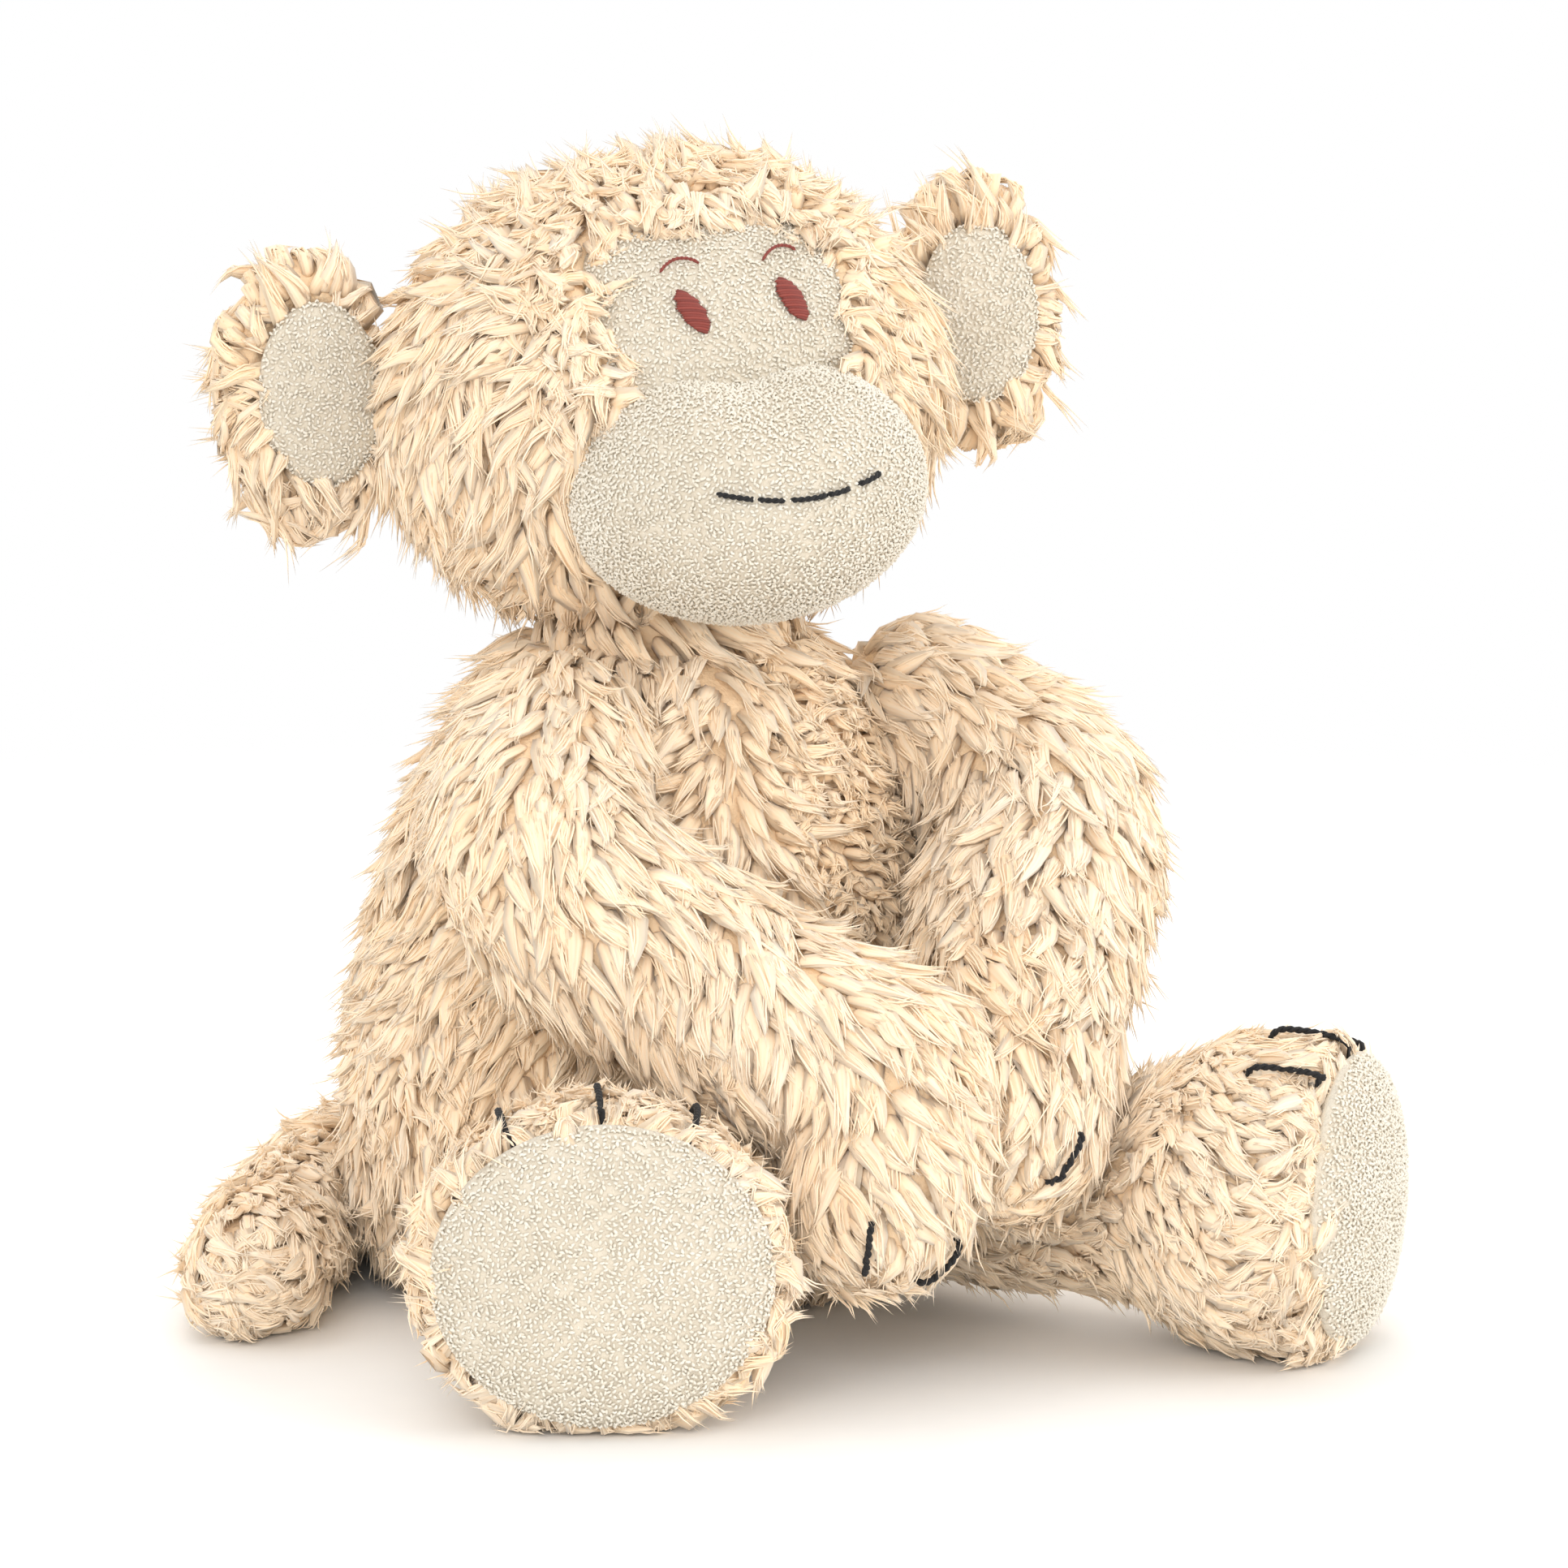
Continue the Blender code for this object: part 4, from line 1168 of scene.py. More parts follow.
def lock_spines(tree, roots, outs, flow, look):
    """A spine for each lock, as locks by SPINE by 3, and the sideways direction of each. A spine hugs the
    skin, and towards its tip it leaves that line for one that hangs free, by the lock's own share."""
    step = look["length"][:, None] / (SPINE - 1)
    ahead = unit(flow - outs * dots(flow, outs))
    side = unit(np.cross(outs, ahead))
    place, up = roots, outs
    free = roots
    spines = [roots - outs * ROOT_DEPTH]
    for number in range(1, SPINE):
        share = number / (SPINE - 1)
        rise = math.sin(0.5 * math.pi * min(1.0, QUICK_RISE * share))
        height = look["stand"] * rise + look["tip"] * share**3
        place, up = nearest(tree, place + ahead * step)
        ahead = unit(ahead - up * dots(ahead, up))
        hugged = place + up * height[:, None]
        droop = look["hang"][:, None] * share
        free = free + unit(ahead * (1.0 - droop) + DOWN * droop) * step
        hung = free + outs * height[:, None]
        mixed = hugged + (hung - hugged) * droop
        swing = np.sin(share * look["bends"] + look["phase"]) * look["curl"] * share
        spines.append(mixed + side * swing[:, None])
    return np.stack(spines, axis=1), side


print("spines of", SPINE, "points")

# %% Locks and strays
LOCK_SIDES = 22
LOCK_STOPS = np.array([0.0, 0.10, 0.34, 0.62, 0.85, 1.0])
LOCK_SHAPE = np.array([0.0, 0.80, 1.0, 0.80, 0.38, 0.0])
LOCK_FLAT = 0.44
LOCK_GROOVE = 0.28
STRAYS = 7
STRAY_SIDES = 4
STRAY_STOPS = np.array([0.3, 0.5, 0.7, 0.88, 1.08])
STRAY_TAPER = np.array([0.0, 1.0, 1.0, 0.75, 0.0])
STRAY_RADIUS = 0.00024
STRAY_THICK = (0.8, 1.3)
STRAY_REACH = (0.8, 1.08)
STRAY_BOW = 0.95
STRAY_SPLAY = 0.0011


def along_spines(spines, which, share):
    """Points on spines at shares of their length, a little past the tip too."""
    spot = share * (SPINE - 1)
    low = np.clip(spot.astype(int), 0, SPINE - 2)
    part = (spot - low)[:, None]
    return spines[which, low] * (1.0 - part) + spines[which, low + 1] * part


def lock_bodies(spines, look):
    """The body of each lock: a flat grooved spindle. Paths, radii and twists."""
    which = np.arange(len(spines))
    rings = [along_spines(spines, which, np.full(len(spines), stop)) for stop in LOCK_STOPS]
    paths = np.stack(rings, axis=1)
    radii = 0.5 * look["width"][:, None] * LOCK_SHAPE
    twist = look["twist"][:, None] * LOCK_STOPS
    return paths, radii, twist


def lock_strays(spines, side, outs, look, draw):
    """Single strands that lie over each lock and stand out at its tip. Locks, paths and radii."""
    which = np.repeat(np.arange(len(spines)), STRAYS)
    total = len(which)
    lane = draw.uniform(-1.0, 1.0, total)
    reach = draw.uniform(*STRAY_REACH, total)
    splay = draw.normal(0.0, STRAY_SPLAY, (total, 2))
    rings = []
    for stop in STRAY_STOPS:
        share = stop * reach
        wide = 0.5 * look["width"][which] * np.interp(share, LOCK_STOPS, LOCK_SHAPE)
        turn = look["twist"][which] * share
        rise = LOCK_FLAT * np.sqrt(1.0 - STRAY_BOW * lane**2)
        sideways = wide * (lane * np.cos(turn) - rise * np.sin(turn)) + splay[:, 0] * share**3
        outward = wide * (lane * np.sin(turn) + rise * np.cos(turn)) + splay[:, 1] * share**3
        middle = along_spines(spines, which, share)
        rings.append(middle + side[which] * sideways[:, None] + outs[which] * outward[:, None])
    radii = STRAY_RADIUS * draw.uniform(*STRAY_THICK, (total, 1)) * STRAY_TAPER
    return which, np.stack(rings, axis=1), radii


def above_floor(paths, radii):
    """Lifts any tube that would reach below the floor."""
    paths[:, :, 2] = np.maximum(paths[:, :, 2], FLOOR_CLEAR + radii.max(axis=1, keepdims=True))


print("locks of", LOCK_SIDES, "spokes, with", STRAYS, "loose strands over each")

# %% What each lock is like
# Where a sewn stitch pulls the fur down: from how far, and by how much
STITCH_PULL = (0.003, 0.011)
PULLED = {"stand": 0.6, "tip": 1.3, "length": 0.35}
# How much locks differ from their form's coat
SPREAD = {"length": (0.65, 1.2), "stand": (0.55, 1.25), "tip": (-0.5, 1.0), "width": (0.8, 1.2)}
BENDS = (2.0, 5.0)
TWIST = 0.9
PATCH_SIZE = 0.05
PATCH_SHADE = 0.14
LOCK_SHADE = 0.12


def pulled_down(form, roots):
    """How much the sewn stitches on a limb pull its fur down at each root, from 0 to 1."""
    side, _, limb = form.partition("_")
    kind = {"arm": "finger_stitch", "leg": "toe_stitch"}.get(limb)
    marks = [name for name in frame["nodes"] if kind and name.startswith(f"{side}_{kind}")]
    if not marks:
        return np.zeros(len(roots))
    tree = point_tree(node_points(*marks))
    far = np.array([tree.find(root)[2] for root in roots])
    return 1.0 - smooth(far, *STITCH_PULL)


def lock_looks(form, seed, roots, coat, draw):
    """A form's coat for each lock, pulled down by stitches and varied at random."""
    total = len(roots)
    look = {key: np.broadcast_to(value, total).astype(float) for key, value in coat.items()}
    pulled = pulled_down(form, roots)
    for key, part in PULLED.items():
        look[key] = look[key] * (1.0 - part * pulled)
    for key, (least, most) in SPREAD.items():
        look[key] = look[key] * draw.uniform(least, most, total)
    look["phase"] = draw.uniform(0.0, 2.0 * np.pi, total)
    look["bends"] = draw.uniform(*BENDS, total)
    look["twist"] = draw.normal(0.0, TWIST, total)
    patch = PATCH_SHADE * waves(roots, PATCH_SIZE, seed)
    look["shade"] = look["pale"] + patch + draw.normal(0.0, LOCK_SHADE, total)
    return look


print("locks differ in", ", ".join(SPREAD))

# %% Growing the fur of a form
MOST_TRIANGLES = 185000
SWIRL_SIZE = 0.04
SWIRL = 0.65
STRAY_SHADE = 0.1


def shared_out(total, sides, stations):
    """Numbered shares of a bundle's tubes, so that no piece has more than MOST_TRIANGLES."""
    pieces = math.ceil(total * 2 * sides * (stations - 2) / MOST_TRIANGLES)
    return list(enumerate(np.array_split(np.arange(total), pieces), 1))


def wear(made, ride):
    ride(made)


def grow(form, ride, seed, gap, keep, flow, coat, label="fur"):
    """Grows the fur of one form, as several pieces that ride hands to the frame."""
    roots, outs = scatter(skins[form], gap, seed, keep)
    inner = np.zeros(len(roots), bool)
    for other, tree in trees.items():
        if other != form and "ear" not in other:
            inner |= buried(roots, tree)
    roots, outs = roots[~inner], outs[~inner]
    order = np.argsort(np.arctan2(outs[:, 0], -outs[:, 1]))
    roots, outs = roots[order], outs[order]
    draw = np.random.default_rng(seed + 500)
    look = lock_looks(form, seed, roots, coat(roots, outs), draw)
    swirl = waves(roots, SWIRL_SIZE, seed + 1) * SWIRL + draw.normal(0.0, 1.0, len(roots)) * look["mess"]
    run = flow(roots, outs)
    run = unit(run - outs * dots(run, outs))
    run = run + np.cross(outs, run) * swirl[:, None]
    spines, side = lock_spines(trees[form], roots, outs, run, look)

    bodies, body_radii, twist = lock_bodies(spines, look)
    above_floor(bodies, body_radii * LOCK_FLAT)
    owner, strays, stray_radii = lock_strays(spines, side, outs, look, draw)
    above_floor(strays, stray_radii)
    tone = np.clip(look["shade"][owner] + draw.normal(0.0, STRAY_SHADE, len(owner)), 0.0, 1.0)
    locks = shared_out(len(roots), LOCK_SIDES, len(LOCK_STOPS))
    for number, rows in locks:
        # along runs from root to tip, and the finish paints the roots warmer and darker: painted shade
        along = np.repeat(LOCK_STOPS[None], len(rows), axis=0)
        part = (bodies[rows], body_radii[rows], outs[rows], LOCK_SIDES, along, look["shade"][rows])
        name = f"{form}_{label}_{number}"
        wear(bundle(name, *part, fur_pile, LOCK_FLAT, LOCK_GROOVE, twist[rows]), ride)
    loose = shared_out(len(owner), STRAY_SIDES, len(STRAY_STOPS))
    for number, rows in loose:
        along = np.repeat(np.minimum(STRAY_STOPS, 1.0)[None], len(rows), axis=0)
        part = (strays[rows], stray_radii[rows], outs[owner[rows]], STRAY_SIDES, along, tone[rows])
        wear(bundle(f"{form}_{label}_strays_{number}", *part, fur_pile), ride)
    print(form, len(roots), "locks,", len(owner), "strays,", len(locks) + len(loose), "pieces")


def anywhere(points, outs):
    return np.ones(len(points), bool)


print("no piece over", MOST_TRIANGLES, "triangles")

# %% [markdown]
# ## Fur, form by form
# Each form gets its own lie of the fur. On the chest it parts from the middle seam like a herringbone and
# is short and nubby on the monkey's left side. On the head it is combed away from the face and hangs at the
# sides. On the limbs and the tail it runs towards the end, and round each sole it flares out. One coat for
# all would be shorter to write, but the fur of the real toy differs from form to form.
#
# Three functions say what a form's fur is like: keep says where it grows, flow which way it lies, and coat
# what a lock is like. In a coat, length, width, stand (how high a lock lies), tip (how far its tip lifts)
# and curl are in metres. hang, pale and mess are shares: how far it hangs free, how pale it is and how it
# strays from the flow.

# %% Torso fur
LOCK_GAP = 0.0032
# Where the chest starts as the skin turns forward, and as it rises
CHEST_TURN = (0.1, 0.6)
CHEST_RISE = (0.05, 0.075)
MATTED_RISE = (0.06, 0.10)
COLLAR_RISE = (0.142, 0.156)
TORSO_LOWEST = 0.004
SEAM_PART = 0.0006
PARTING = (0.001, 0.007)
PARTING_FADE = 0.034
PARTING_PULL = np.array([0.8, 0.0, 0.0])
# The nubby side: where it starts, where only nubs grow, and where nubs grow too
NUBBY_SIDE = (0.006, 0.014)
NUBBY_ONLY = 0.7
NUBBY_TOO = 0.35


def chest_share(points, outs):
    return smooth(-outs[:, 1], *CHEST_TURN) * smooth(points[:, 2], *CHEST_RISE)


def nubby_share(points, outs):
    return chest_share(points, outs) * smooth(points[:, 0], *NUBBY_SIDE)


def torso_keep(points, outs):
    on_seam = (chest_share(points, outs) > 0.5) & (np.abs(points[:, 0]) < SEAM_PART)
    return ~on_seam & (points[:, 2] > TORSO_LOWEST) & (nubby_share(points, outs) < NUBBY_ONLY)


def torso_flow(points, outs):
    across = np.abs(points[:, [0]])
    fade = np.exp(-((across / PARTING_FADE) ** 2))
    beside = np.sign(points[:, [0]]) * smooth(across, *PARTING) * fade
    front = np.clip(-outs[:, [1]], 0.0, 1.0)
    return DOWN + beside * front * PARTING_PULL


def torso_coat(points, outs):
    chest = chest_share(points, outs)
    matted = (1.0 - chest) * (1.0 - smooth(points[:, 2], *MATTED_RISE))
    collar = smooth(points[:, 2], *COLLAR_RISE)
    return {
        "length": 0.018 - 0.003 * chest - 0.005 * matted,
        "stand": 0.0027 + 0.0013 * collar,
        "tip": 0.006 + 0.002 * collar,
        "hang": 0.15,
        "curl": 0.0010 + 0.001 * matted,
        "width": 0.0049,
        "pale": 0.42 - 0.05 * matted,
        "mess": 0.3 + 0.4 * matted,
    }


grow("torso", on("torso"), 11, LOCK_GAP, torso_keep, torso_flow, torso_coat)

# %% Nubs on the chest
NUB_GAP = 0.0023


def nubs_keep(points, outs):
    return nubby_share(points, outs) > NUBBY_TOO


def nubs_coat(points, outs):
    return {
        "length": 0.0065,
        "stand": 0.0028,
        "tip": 0.003,
        "hang": 0.1,
        "curl": 0.0022,
        "width": 0.0032,
        "pale": 0.25,
        "mess": 1.2,
    }


grow("torso", on("torso"), 21, NUB_GAP, nubs_keep, torso_flow, nubs_coat, "nubs")

# %% Head fur
FACE_ROOM = 0.97
# The face's edge, in face_power, and how far the skin may turn back from it
FACE_FRINGE = 2.6
FACE_TURN = 0.3
TUFT_SIZE = 0.004


def head_keep(points, outs):
    local = into_head(points)
    on_face = (face_power(local, FACE_ROOM) < 1.0) & (local[:, 1] < HEAD_MIDDLE[1])
    in_muzzle = np.sum(((local - MUZZLE_MIDDLE) / MUZZLE_HALF) ** 2, axis=1) < 1.0
    return ~(on_face | in_muzzle)


def head_flow(points, outs):
    """Away from the face, back over the crown and down the sides. Tufts at the edge lie over the face."""
    local, lean = into_head(points), outs @ HEAD_TURNED
    away = local - FACE_MIDDLE
    away[:, 1] = 0.0
    at_edge = (face_power(local) < FACE_FRINGE) & (lean[:, 1] < FACE_TURN)
    in_tuft = waves(points, TUFT_SIZE, 40) > -0.1
    front = np.clip(-lean[:, [1]] + 0.25, 0.0, 1.0)
    top = np.clip(lean[:, [2]], 0.0, 1.0)
    run = unit(away) * front * (0.35 + 0.8 * top) + np.array([0.0, 0.9, 0.0]) * top
    run = run + DOWN * (1.0 - top) * 1.1
    over = DOWN * 0.6 - unit(away) * np.array([0.5, 0.0, 1.0])
    return np.where((at_edge & in_tuft)[:, None], over, run) @ HEAD_TURNED.T


def head_coat(points, outs):
    lean = outs @ HEAD_TURNED
    side = np.clip(1.0 - np.abs(lean[:, 2]) * 1.3, 0.0, 1.0)
    fringe = (face_power(into_head(points)) < FACE_FRINGE) & (lean[:, 1] < FACE_TURN)
    return {
        "length": 0.017 + 0.004 * side - 0.008 * fringe,
        "stand": 0.0032,
        "tip": 0.0070,
        "hang": 0.55 * side,
        "curl": 0.0014,
        "width": 0.0046,
        "pale": 0.42,
        "mess": 0.42,
    }


grow("head", on("head"), 12, LOCK_GAP, head_keep, head_flow, head_coat)

# %% Fringe round the face
FRINGE_GAP = 0.0026
FRINGE_REACH = 6.0
WISP_SIZE = 0.006


def fringe_keep(points, outs):
    near_face = face_power(into_head(points)) < FRINGE_REACH
    return head_keep(points, outs) & near_face & ((outs @ HEAD_TURNED)[:, 1] < FACE_TURN)


def fringe_flow(points, outs):
    away = into_head(points) - FACE_MIDDLE
    return (DOWN * 0.5 - unit(away) * waves(points, WISP_SIZE, 41)[:, None]) @ HEAD_TURNED.T


def fringe_coat(points, outs):
    shorter = {"length": 0.011, "width": 0.0036, "tip": 0.004, "hang": 0.1, "mess": 0.6}
    return {**head_coat(points, outs), **shorter}


grow("head", on("head"), 22, FRINGE_GAP, fringe_keep, fringe_flow, fringe_coat, "fringe")

# %% Neck fur
def straight_down(points, outs):
    return np.broadcast_to(DOWN, outs.shape)


def neck_coat(points, outs):
    return {
        "length": 0.016,
        "stand": 0.0055,
        "tip": 0.008,
        "hang": 0.1,
        "curl": 0.0016,
        "width": 0.0046,
        "pale": 0.4,
        "mess": 0.5,
    }


grow("neck", on("neck"), 20, LOCK_GAP, anywhere, straight_down, neck_coat)

# %% Ear fur
EAR_GAP = 0.0030
EAR_RIM_ENDS = 0.6
EAR_RIM_BACK = 0.4
EAR_PATCH_EDGE = 0.96
EAR_BACK_TURN = (-0.2, 0.5)


def ear_fur(side, seed):
    """Fur out from the terry all round the rim, but not beside the head, and over the back of the ear."""
    middle, half = ear_patch(side)
    hub = out_of_head(middle)

    def keep(points, outs):
        local = (into_head(points) - middle) / half
        inward = np.sign(HEAD_MIDDLE[0] - middle[0])
        beside_head = (inward * local[:, 0] > EAR_RIM_ENDS) & (np.abs(local[:, 2]) < EAR_RIM_ENDS)
        on_patch = local[:, 0] ** 2 + local[:, 2] ** 2 < EAR_PATCH_EDGE
        return ~((on_patch | beside_head) & (local[:, 1] < EAR_RIM_BACK))

    def flow(points, outs):
        lean = outs @ HEAD_TURNED
        back = smooth(lean[:, [1]], *EAR_BACK_TURN)
        outward = HEAD_TURNED @ (middle - HEAD_MIDDLE) * [1.0, 1.0, 0.0]
        return unit(points - hub) * (1.0 - back) + unit(outward) * back + DOWN * (0.25 + 0.5 * back)

    def coat(points, outs):
        lean = outs @ HEAD_TURNED
        front = np.clip(-lean[:, 1], 0.0, 1.0)
        return {
            "length": 0.017 - 0.003 * front,
            "stand": 0.0034,
            "tip": 0.009,
            "hang": 0.2,
            "curl": 0.0014,
            "width": 0.0044,
            "pale": 0.42,
            "mess": 0.4,
        }

    grow(f"{side}_ear", on(f"{side}_ear"), seed, EAR_GAP, keep, flow, coat)


for number, side in enumerate(SIDES):
    ear_fur(side, 13 + number)

# %% Arm fur
SHOULDER = (0.12, 0.45)
FINGERS = (0.8, 1.0)
OUT_FROM_SHOULDER = {"right": np.array([-1.0, -0.4, 0.0]), "left": np.array([1.0, -0.4, 0.0])}


def arm_fur(side, seed):
    """Fur that falls outward over the shoulder and then runs down the arm, shorter on the hand."""
    middle = middles[f"{side}_arm"]

    def flow(points, outs):
        shoulder = 1.0 - smooth(middle.share(points), *SHOULDER)[:, None]
        outward = OUT_FROM_SHOULDER[side]
        return middle.run(points) * (0.8 - 0.6 * shoulder) + DOWN * 0.7 + outward * shoulder

    def coat(points, outs):
        return {
            "length": 0.019 - 0.004 * smooth(middle.share(points), *FINGERS),
            "stand": 0.0026,
            "tip": 0.0062,
            "hang": 0.3,
            "curl": 0.0014,
            "width": 0.0051,
            "pale": 0.55,
            "mess": 0.42,
        }

    grow(f"{side}_arm", on_arm(side), seed, LOCK_GAP, anywhere, flow, coat)


for number, side in enumerate(SIDES):
    arm_fur(side, 15 + number)

# %% Leg fur
FLARE = 0.022
MATTED_GAP = 0.0029
SOLE_SEAM = 0.001


def leg_fur(side, seed):
    """Short matted fur along the leg, which flares out round the sole."""
    middle, sole = middles[f"{side}_leg"], soles[side]

    def behind(points):
        return (sole.rim - points) @ sole.ahead

    def keep(points, outs):
        return behind(points) > SOLE_SEAM

    def flow(points, outs):
        back = behind(points)[:, None]
        outward = unit(points - sole.rim + back * sole.ahead)
        flare = 1.0 - smooth(back, 0.0, FLARE)
        return middle.run(points) * (1.0 - flare * 0.6) + outward * flare * 1.5 + DOWN * 0.25

    def coat(points, outs):
        flare = 1.0 - smooth(behind(points), 0.0, FLARE)
        return {
            "length": 0.013,
            "stand": 0.0021 + 0.0024 * flare,
            "tip": 0.0038 + 0.0022 * flare,
            "hang": 0.1,
            "curl": 0.0020,
            "width": 0.0050,
            "pale": 0.5,
            "mess": 0.45,
        }

    grow(f"{side}_leg", on(f"{side}_leg"), seed, MATTED_GAP, keep, flow, coat)


for number, side in enumerate(SIDES):
    leg_fur(side, 17 + number)

# %% Tail fur
def tail_flow(points, outs):
    return middles["tail"].run(points) + DOWN * 0.2


def tail_coat(points, outs):
    return {
        "length": 0.012,
        "stand": 0.0022,
        "tip": 0.0040,
        "hang": 0.1,
        "curl": 0.0018,
        "width": 0.0050,
        "pale": 0.5,
        "mess": 0.45,
    }


grow("tail", on("tail"), 19, MATTED_GAP, anywhere, tail_flow, tail_coat)

# %% [markdown]
# ## Terry loops
# Terry is a cloth of tiny uncut loops. On this toy each loop is about a millimetre tall, and a close look
# shows them as a soft nubby grain. A bump in the finish would give the grain but a smooth outline, so each
# loop is a short arch of thread that leans a random way.

# %% Terry loops
LOOP_GAP = 0.0009
LOOP_RADIUS = 0.00034
LOOP_SPAN = 0.0008
LOOP_SIDES = 4
LOOP_ARCH = np.array([0.0, 0.75, 1.0, 0.75, 0.0])
LOOP_REACH = np.array([-0.5, -0.45, 0.0, 0.45, 0.5])
LOOP_TALL = (0.8, 1.35)
LOOP_WIDE = (0.8, 1.3)
LOOP_THICK = (0.85, 1.2)
LOOP_SLANT = 0.25
LOOP_PALE = 0.55
LOOP_PATCH_SIZE = 0.02
LOOP_PATCH_SHADE = 0.12
LOOP_SHADE = 0.2


def loops(form, body, seed, facing):
    """The looped pile on one terry piece, on the side that facing allows."""
    roots, outs = scatter(terries[form], LOOP_GAP, seed, facing)
    draw = np.random.default_rng(seed + 500)
    total = len(roots)
    lean = draw.normal(size=(total, 3))
    run = unit(lean - outs * dots(lean, outs))
    tall = TERRY_PILE * draw.uniform(*LOOP_TALL, total)
    span = LOOP_SPAN * draw.uniform(*LOOP_WIDE, total)
    slant = unit(outs + LOOP_SLANT * draw.normal(size=(total, 3)))
    rings = [
        roots + run * (span * reach)[:, None] + slant * (tall * arch)[:, None] - outs * LOOP_RADIUS
        for reach, arch in zip(LOOP_REACH, LOOP_ARCH)
    ]
    paths = np.stack(rings, axis=1)
    radii = np.full((total, len(rings)), LOOP_RADIUS) * draw.uniform(*LOOP_THICK, (total, 1))
    # along is the height in the arch, so the finish paints the feet of each loop darker: painted shade
    along = np.repeat(LOOP_ARCH[None], total, axis=0)
    patch = LOOP_PATCH_SHADE * waves(roots, LOOP_PATCH_SIZE, seed)
    shade = np.clip(LOOP_PALE + patch + draw.normal(0.0, LOOP_SHADE, total), 0.0, 1.0)
    ups = np.cross(outs, run)
    pieces = shared_out(total, LOOP_SIDES, len(rings))
    for number, rows in pieces:
        part = (paths[rows], radii[rows], ups[rows], LOOP_SIDES, along[rows], shade[rows])
        made = bundle(f"{form}_terry_loops_{number}", *part, terry_pile)
        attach(made, body)
    print(form, total, "loops in", len(pieces), "pieces")


def out_from(hub):
    return lambda points, outs: np.sum((points - hub) * outs, axis=1) > 0.0


def along_way(way):
    return lambda points, outs: outs @ way > FRONT_SIDE


FRONT_SIDE = 0.25
FORWARD = HEAD_TURNED @ np.array([0.0, -1.0, 0.0])
loops("muzzle", "head", 31, out_from(out_of_head(MUZZLE_MIDDLE)))
loops("face", "head", 32, along_way(FORWARD))
for number, side in enumerate(SIDES):
    loops(f"{side}_ear", f"{side}_ear", 33 + number, along_way(FORWARD))
    loops(f"{side}_sole", f"{side}_leg", 35 + number, along_way(soles[side].ahead))

# %% [markdown]
# ## Sewn features
# The eyes are satin stitch: threads laid side by side across a pointed oval, over a little padding. The
# brows are one thin thread each. The mouth, the fingers and the toes are running stitches in black two-ply
# yarn. The stitches could be plain tubes, but two plies that wind round each other catch the light as yarn
# does.

# %% Threads
THREAD_SIDES = 6
PLY_PITCH = 5.0
PLY_APART = 0.5
PLY_RADIUS = 0.62


def sewn(obj, body, slot, *nodes):
    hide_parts(*nodes)
    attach(obj, body)


def yarn(paths, ups, radius):
    """Two plies twisted round each path, and which way is up for each."""
    ahead = unit(np.gradient(paths, axis=1))
    side = unit(np.cross(ahead, ups))
    top = np.cross(side, ahead)
    steps = np.linalg.norm(np.diff(paths, axis=1), axis=2)
    far = np.concatenate([np.zeros((len(paths), 1)), np.cumsum(steps, axis=1)], axis=1)
    plies = []
    for ply in (0.0, np.pi):
        turn = 2.0 * np.pi * far / (radius * PLY_PITCH) + ply
        twist = side * np.cos(turn)[..., None] + top * np.sin(turn)[..., None]
        plies.append(paths + twist * radius * PLY_APART)
    return np.concatenate(plies), np.concatenate([ups[:, 0], ups[:, 0]])


def stitched(name, paths, ups, radius, material):
    """Stitches of two-ply yarn as one object."""
    lines, tops = yarn(paths, ups, radius)
    radii = np.full(lines.shape[:2], radius * PLY_RADIUS)
    along = np.repeat(np.linspace(0.0, 1.0, lines.shape[1])[None], len(lines), axis=0)
    shade = np.linspace(0.3, 0.7, len(lines))
    return bundle(name, lines, radii, tops, THREAD_SIDES, along, shade, material)


print("a ply turns once in", PLY_PITCH, "radii")

# %% Satin stitch
EYE_ROWS = 17
EYE_STEPS = 9
EYE_WIDE = 0.84
EYE_TALL = 0.82
EYE_POINT = 0.55
EYE_UNEVEN = 0.07
EYE_LEAN = 0.0013
EYE_SLANT = 0.0006
EYE_CROWN = 0.0010
SATIN = 0.00045
SATIN_SHADES = [0.15, 0.85, 0.45, 0.7]


def sew_eye(side):
    """Threads across a pointed oval, one above the other, with uneven ends."""
    middle, half = middle_and_half(into_head(node_points(f"{side}_eye")))
    rows = np.linspace(-1.0, 1.0, EYE_ROWS + 2)[1:-1]
    uneven = 1.0 + EYE_UNEVEN * np.random.default_rng(len(side)).normal(size=EYE_ROWS)
    reach = EYE_WIDE * half[0] * (1.0 - rows**2) ** EYE_POINT * uneven
    share = np.linspace(-1.0, 1.0, EYE_STEPS)
    x = middle[0] - EYE_LEAN * rows[:, None] + reach[:, None] * share
    z = middle[2] + EYE_TALL * half[2] * rows[:, None] - EYE_SLANT * share
    crown = EYE_CROWN * (1.0 - share**2) * np.sqrt(1.0 - rows[:, None] ** 2)
    paths, ups = on_ball(HEAD_MIDDLE, HEAD_HALF, x, z, crown)
    radii = np.full(paths.shape[:2], SATIN)
    along = np.broadcast_to(np.abs(share), paths.shape[:2])
    shade = np.tile(SATIN_SHADES, EYE_ROWS)[:EYE_ROWS]
    tops = ups[:, EYE_STEPS // 2]
    eye = bundle(f"{side}_eye_satin", paths, radii, tops, THREAD_SIDES, along, shade, rust_thread)
    sewn(eye, "head", "rust_thread", f"{side}_eye")


print("eyes of", EYE_ROWS, "threads each")

# %% Eyes and brows
BROW_STEPS = 28
BROW_RADIUS = 0.00042
BROW_TOP = 0.6
BROW_BEND = 1.1
BROW_PEAK = 0.15
BROW_SUNK = 0.0004
BROW_PROUD = 0.0005


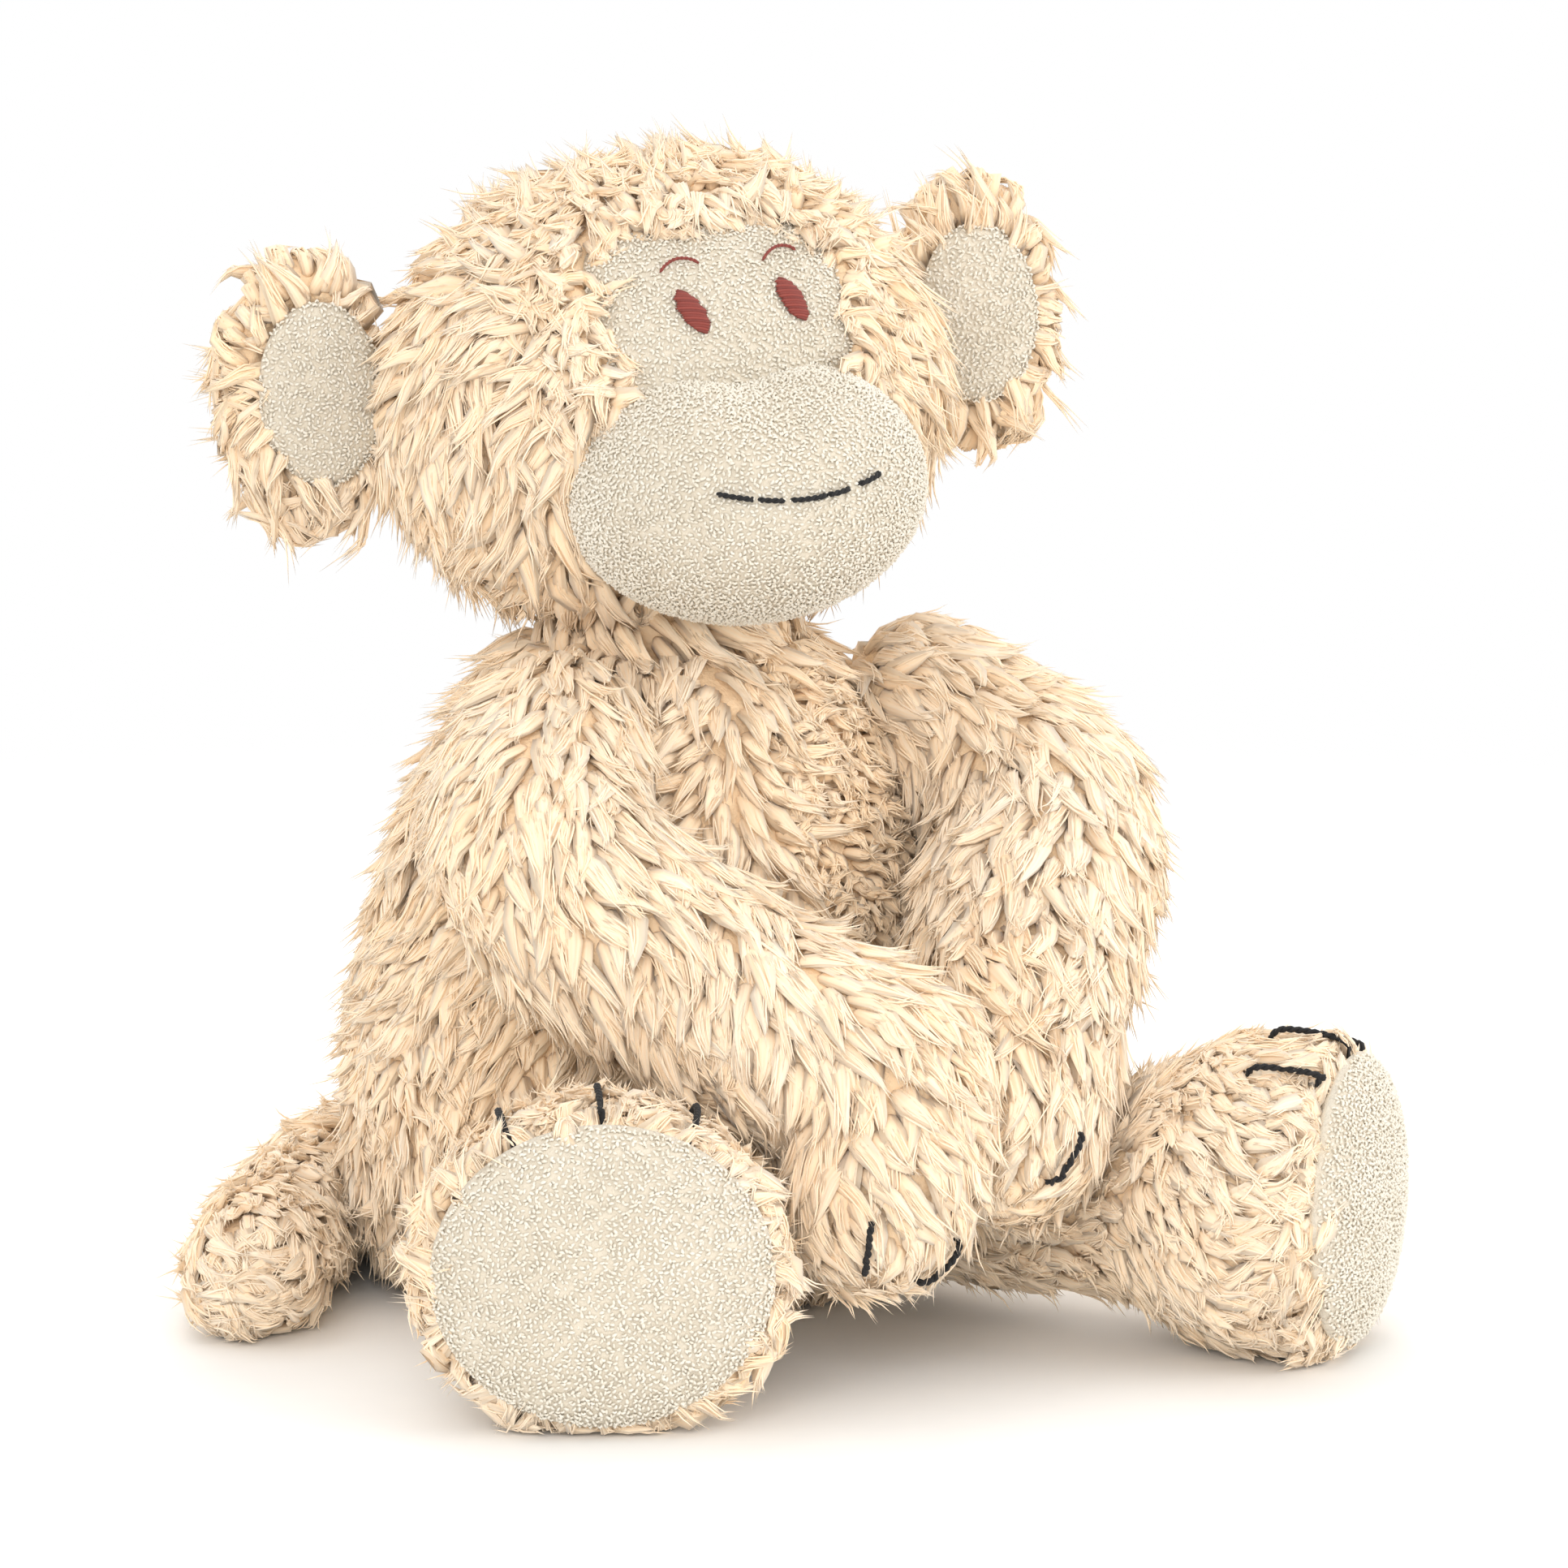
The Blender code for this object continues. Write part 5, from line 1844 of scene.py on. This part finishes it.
def sew_brow(side):
    """One thread in a bow over an eye, with its ends drawn into the terry."""
    middle, half = middle_and_half(into_head(node_points(f"{side}_brow")))
    share = np.linspace(-1.0, 1.0, BROW_STEPS)[None]
    x = middle[0] + half[0] * share
    z = middle[2] + half[2] * (BROW_TOP - BROW_BEND * (share - BROW_PEAK) ** 2)
    lift = BROW_SUNK + BROW_PROUD * (1.0 - share**8)
    paths, ups = on_ball(HEAD_MIDDLE, HEAD_HALF, x, z, lift)
    brow = stitched(f"{side}_brow_stitch", paths, ups, BROW_RADIUS, rust_thread)
    sewn(brow, "head", "rust_thread", f"{side}_brow")


for side in SIDES:
    sew_eye(side)
    sew_brow(side)
print("eyes and brows:", ", ".join(SIDES))

# %% Mouth
MOUTH_STITCHES = [(0.0, 0.19), (0.22, 0.36), (0.40, 0.62), (0.63, 0.77), (0.84, 1.0)]
MOUTH_HALF = 0.020
MOUTH_RISE = 0.002
MOUTH_SMILE = 0.003
MOUTH_YARN = 0.00066
MOUTH_STEPS = 24
MOUTH_LIFT = 0.0008
MOUTH_SINK = 0.0022

ends = [np.linspace(start, end, MOUTH_STEPS) for start, end in MOUTH_STITCHES]
share = np.stack(ends) * 2.0 - 1.0
x = MUZZLE_MIDDLE[0] + MOUTH_HALF * share
z = MUZZLE_MIDDLE[2] + MOUTH_RISE + MOUTH_SMILE * share**2
lift = MOUTH_LIFT - MOUTH_SINK * np.linspace(-1.0, 1.0, MOUTH_STEPS) ** 6
paths, ups = on_ball(MUZZLE_MIDDLE, MUZZLE_HALF, x, z, lift)
mouth = stitched("mouth_stitches", paths, ups, MOUTH_YARN, black_thread)
sewn(mouth, "head", "black_thread", "mouth_thread")
print("a mouth of", len(MOUTH_STITCHES), "stitches")

# %% Finger and toe stitches
STITCH_YARN = 0.00080
STITCH_STEPS = 36
STITCH_LIFT = 0.0048
STITCH_SINK = 0.75
# Which limb a stitch lies on, which body carries it, and how many there are
LIMB_STITCHES = {"finger": ("arm", "hand", 2), "toe": ("leg", "leg", 3)}


def limb_stitch(node, form):
    """A stitch over a CAD stitch's place, pulled down into the pile at its ends."""
    points = node_points(node)
    hub = points.mean(axis=0)
    way = np.linalg.svd(points - hub, full_matrices=False)[2][0]
    reach = np.abs((points - hub) @ way).max()
    share = np.linspace(-1.0, 1.0, STITCH_STEPS)
    line = hub + share[:, None] * way * reach
    spots, normals = nearest(trees[form], line)
    height = STITCH_LIFT * (1.0 - STITCH_SINK * share**8)
    return (spots + normals * height[:, None])[None], normals[None]


for side in SIDES:
    for kind, (limb, body, count) in LIMB_STITCHES.items():
        for number in range(1, count + 1):
            node = f"{side}_{kind}_stitch_{number}"
            paths, ups = limb_stitch(node, f"{side}_{limb}")
            made = stitched(f"{node}_yarn", paths, ups, STITCH_YARN, black_thread)
            sewn(made, f"{side}_{body}", "black_thread", node)
print({kind: count for kind, (_, _, count) in LIMB_STITCHES.items()}, "stitches on each side")

# %% Chest seam
SEAM_LIFT = 0.0012
SEAM_THREAD = 0.0006
SEAM_STEPS = 90

low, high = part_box("chest_seam")
heights = np.linspace(low.z, high.z, SEAM_STEPS)
line = np.stack([np.zeros(SEAM_STEPS), np.full(SEAM_STEPS, low.y), heights], axis=1)
spots, normals = nearest(trees["torso"], line)
path = (spots + normals * SEAM_LIFT)[None]
seam = stitched("chest_seam_thread", path, normals[None], SEAM_THREAD, cream_thread)
sewn(seam, "torso", "cream_thread", "chest_seam")
print("a seam", round(high.z - low.z, 3), "m long")

# %% [markdown]
# ## Finish
# The box of the CAD model and the box of the finished model are put side by side, and the finished model's
# box is printed; the pile is meant to add only its own few millimetres.

# %% Finish
final_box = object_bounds()
sizes = {"cad": [list(corner) for corner in cad_box], "visual": [list(corner) for corner in final_box]}
print("visual box", sizes["visual"])
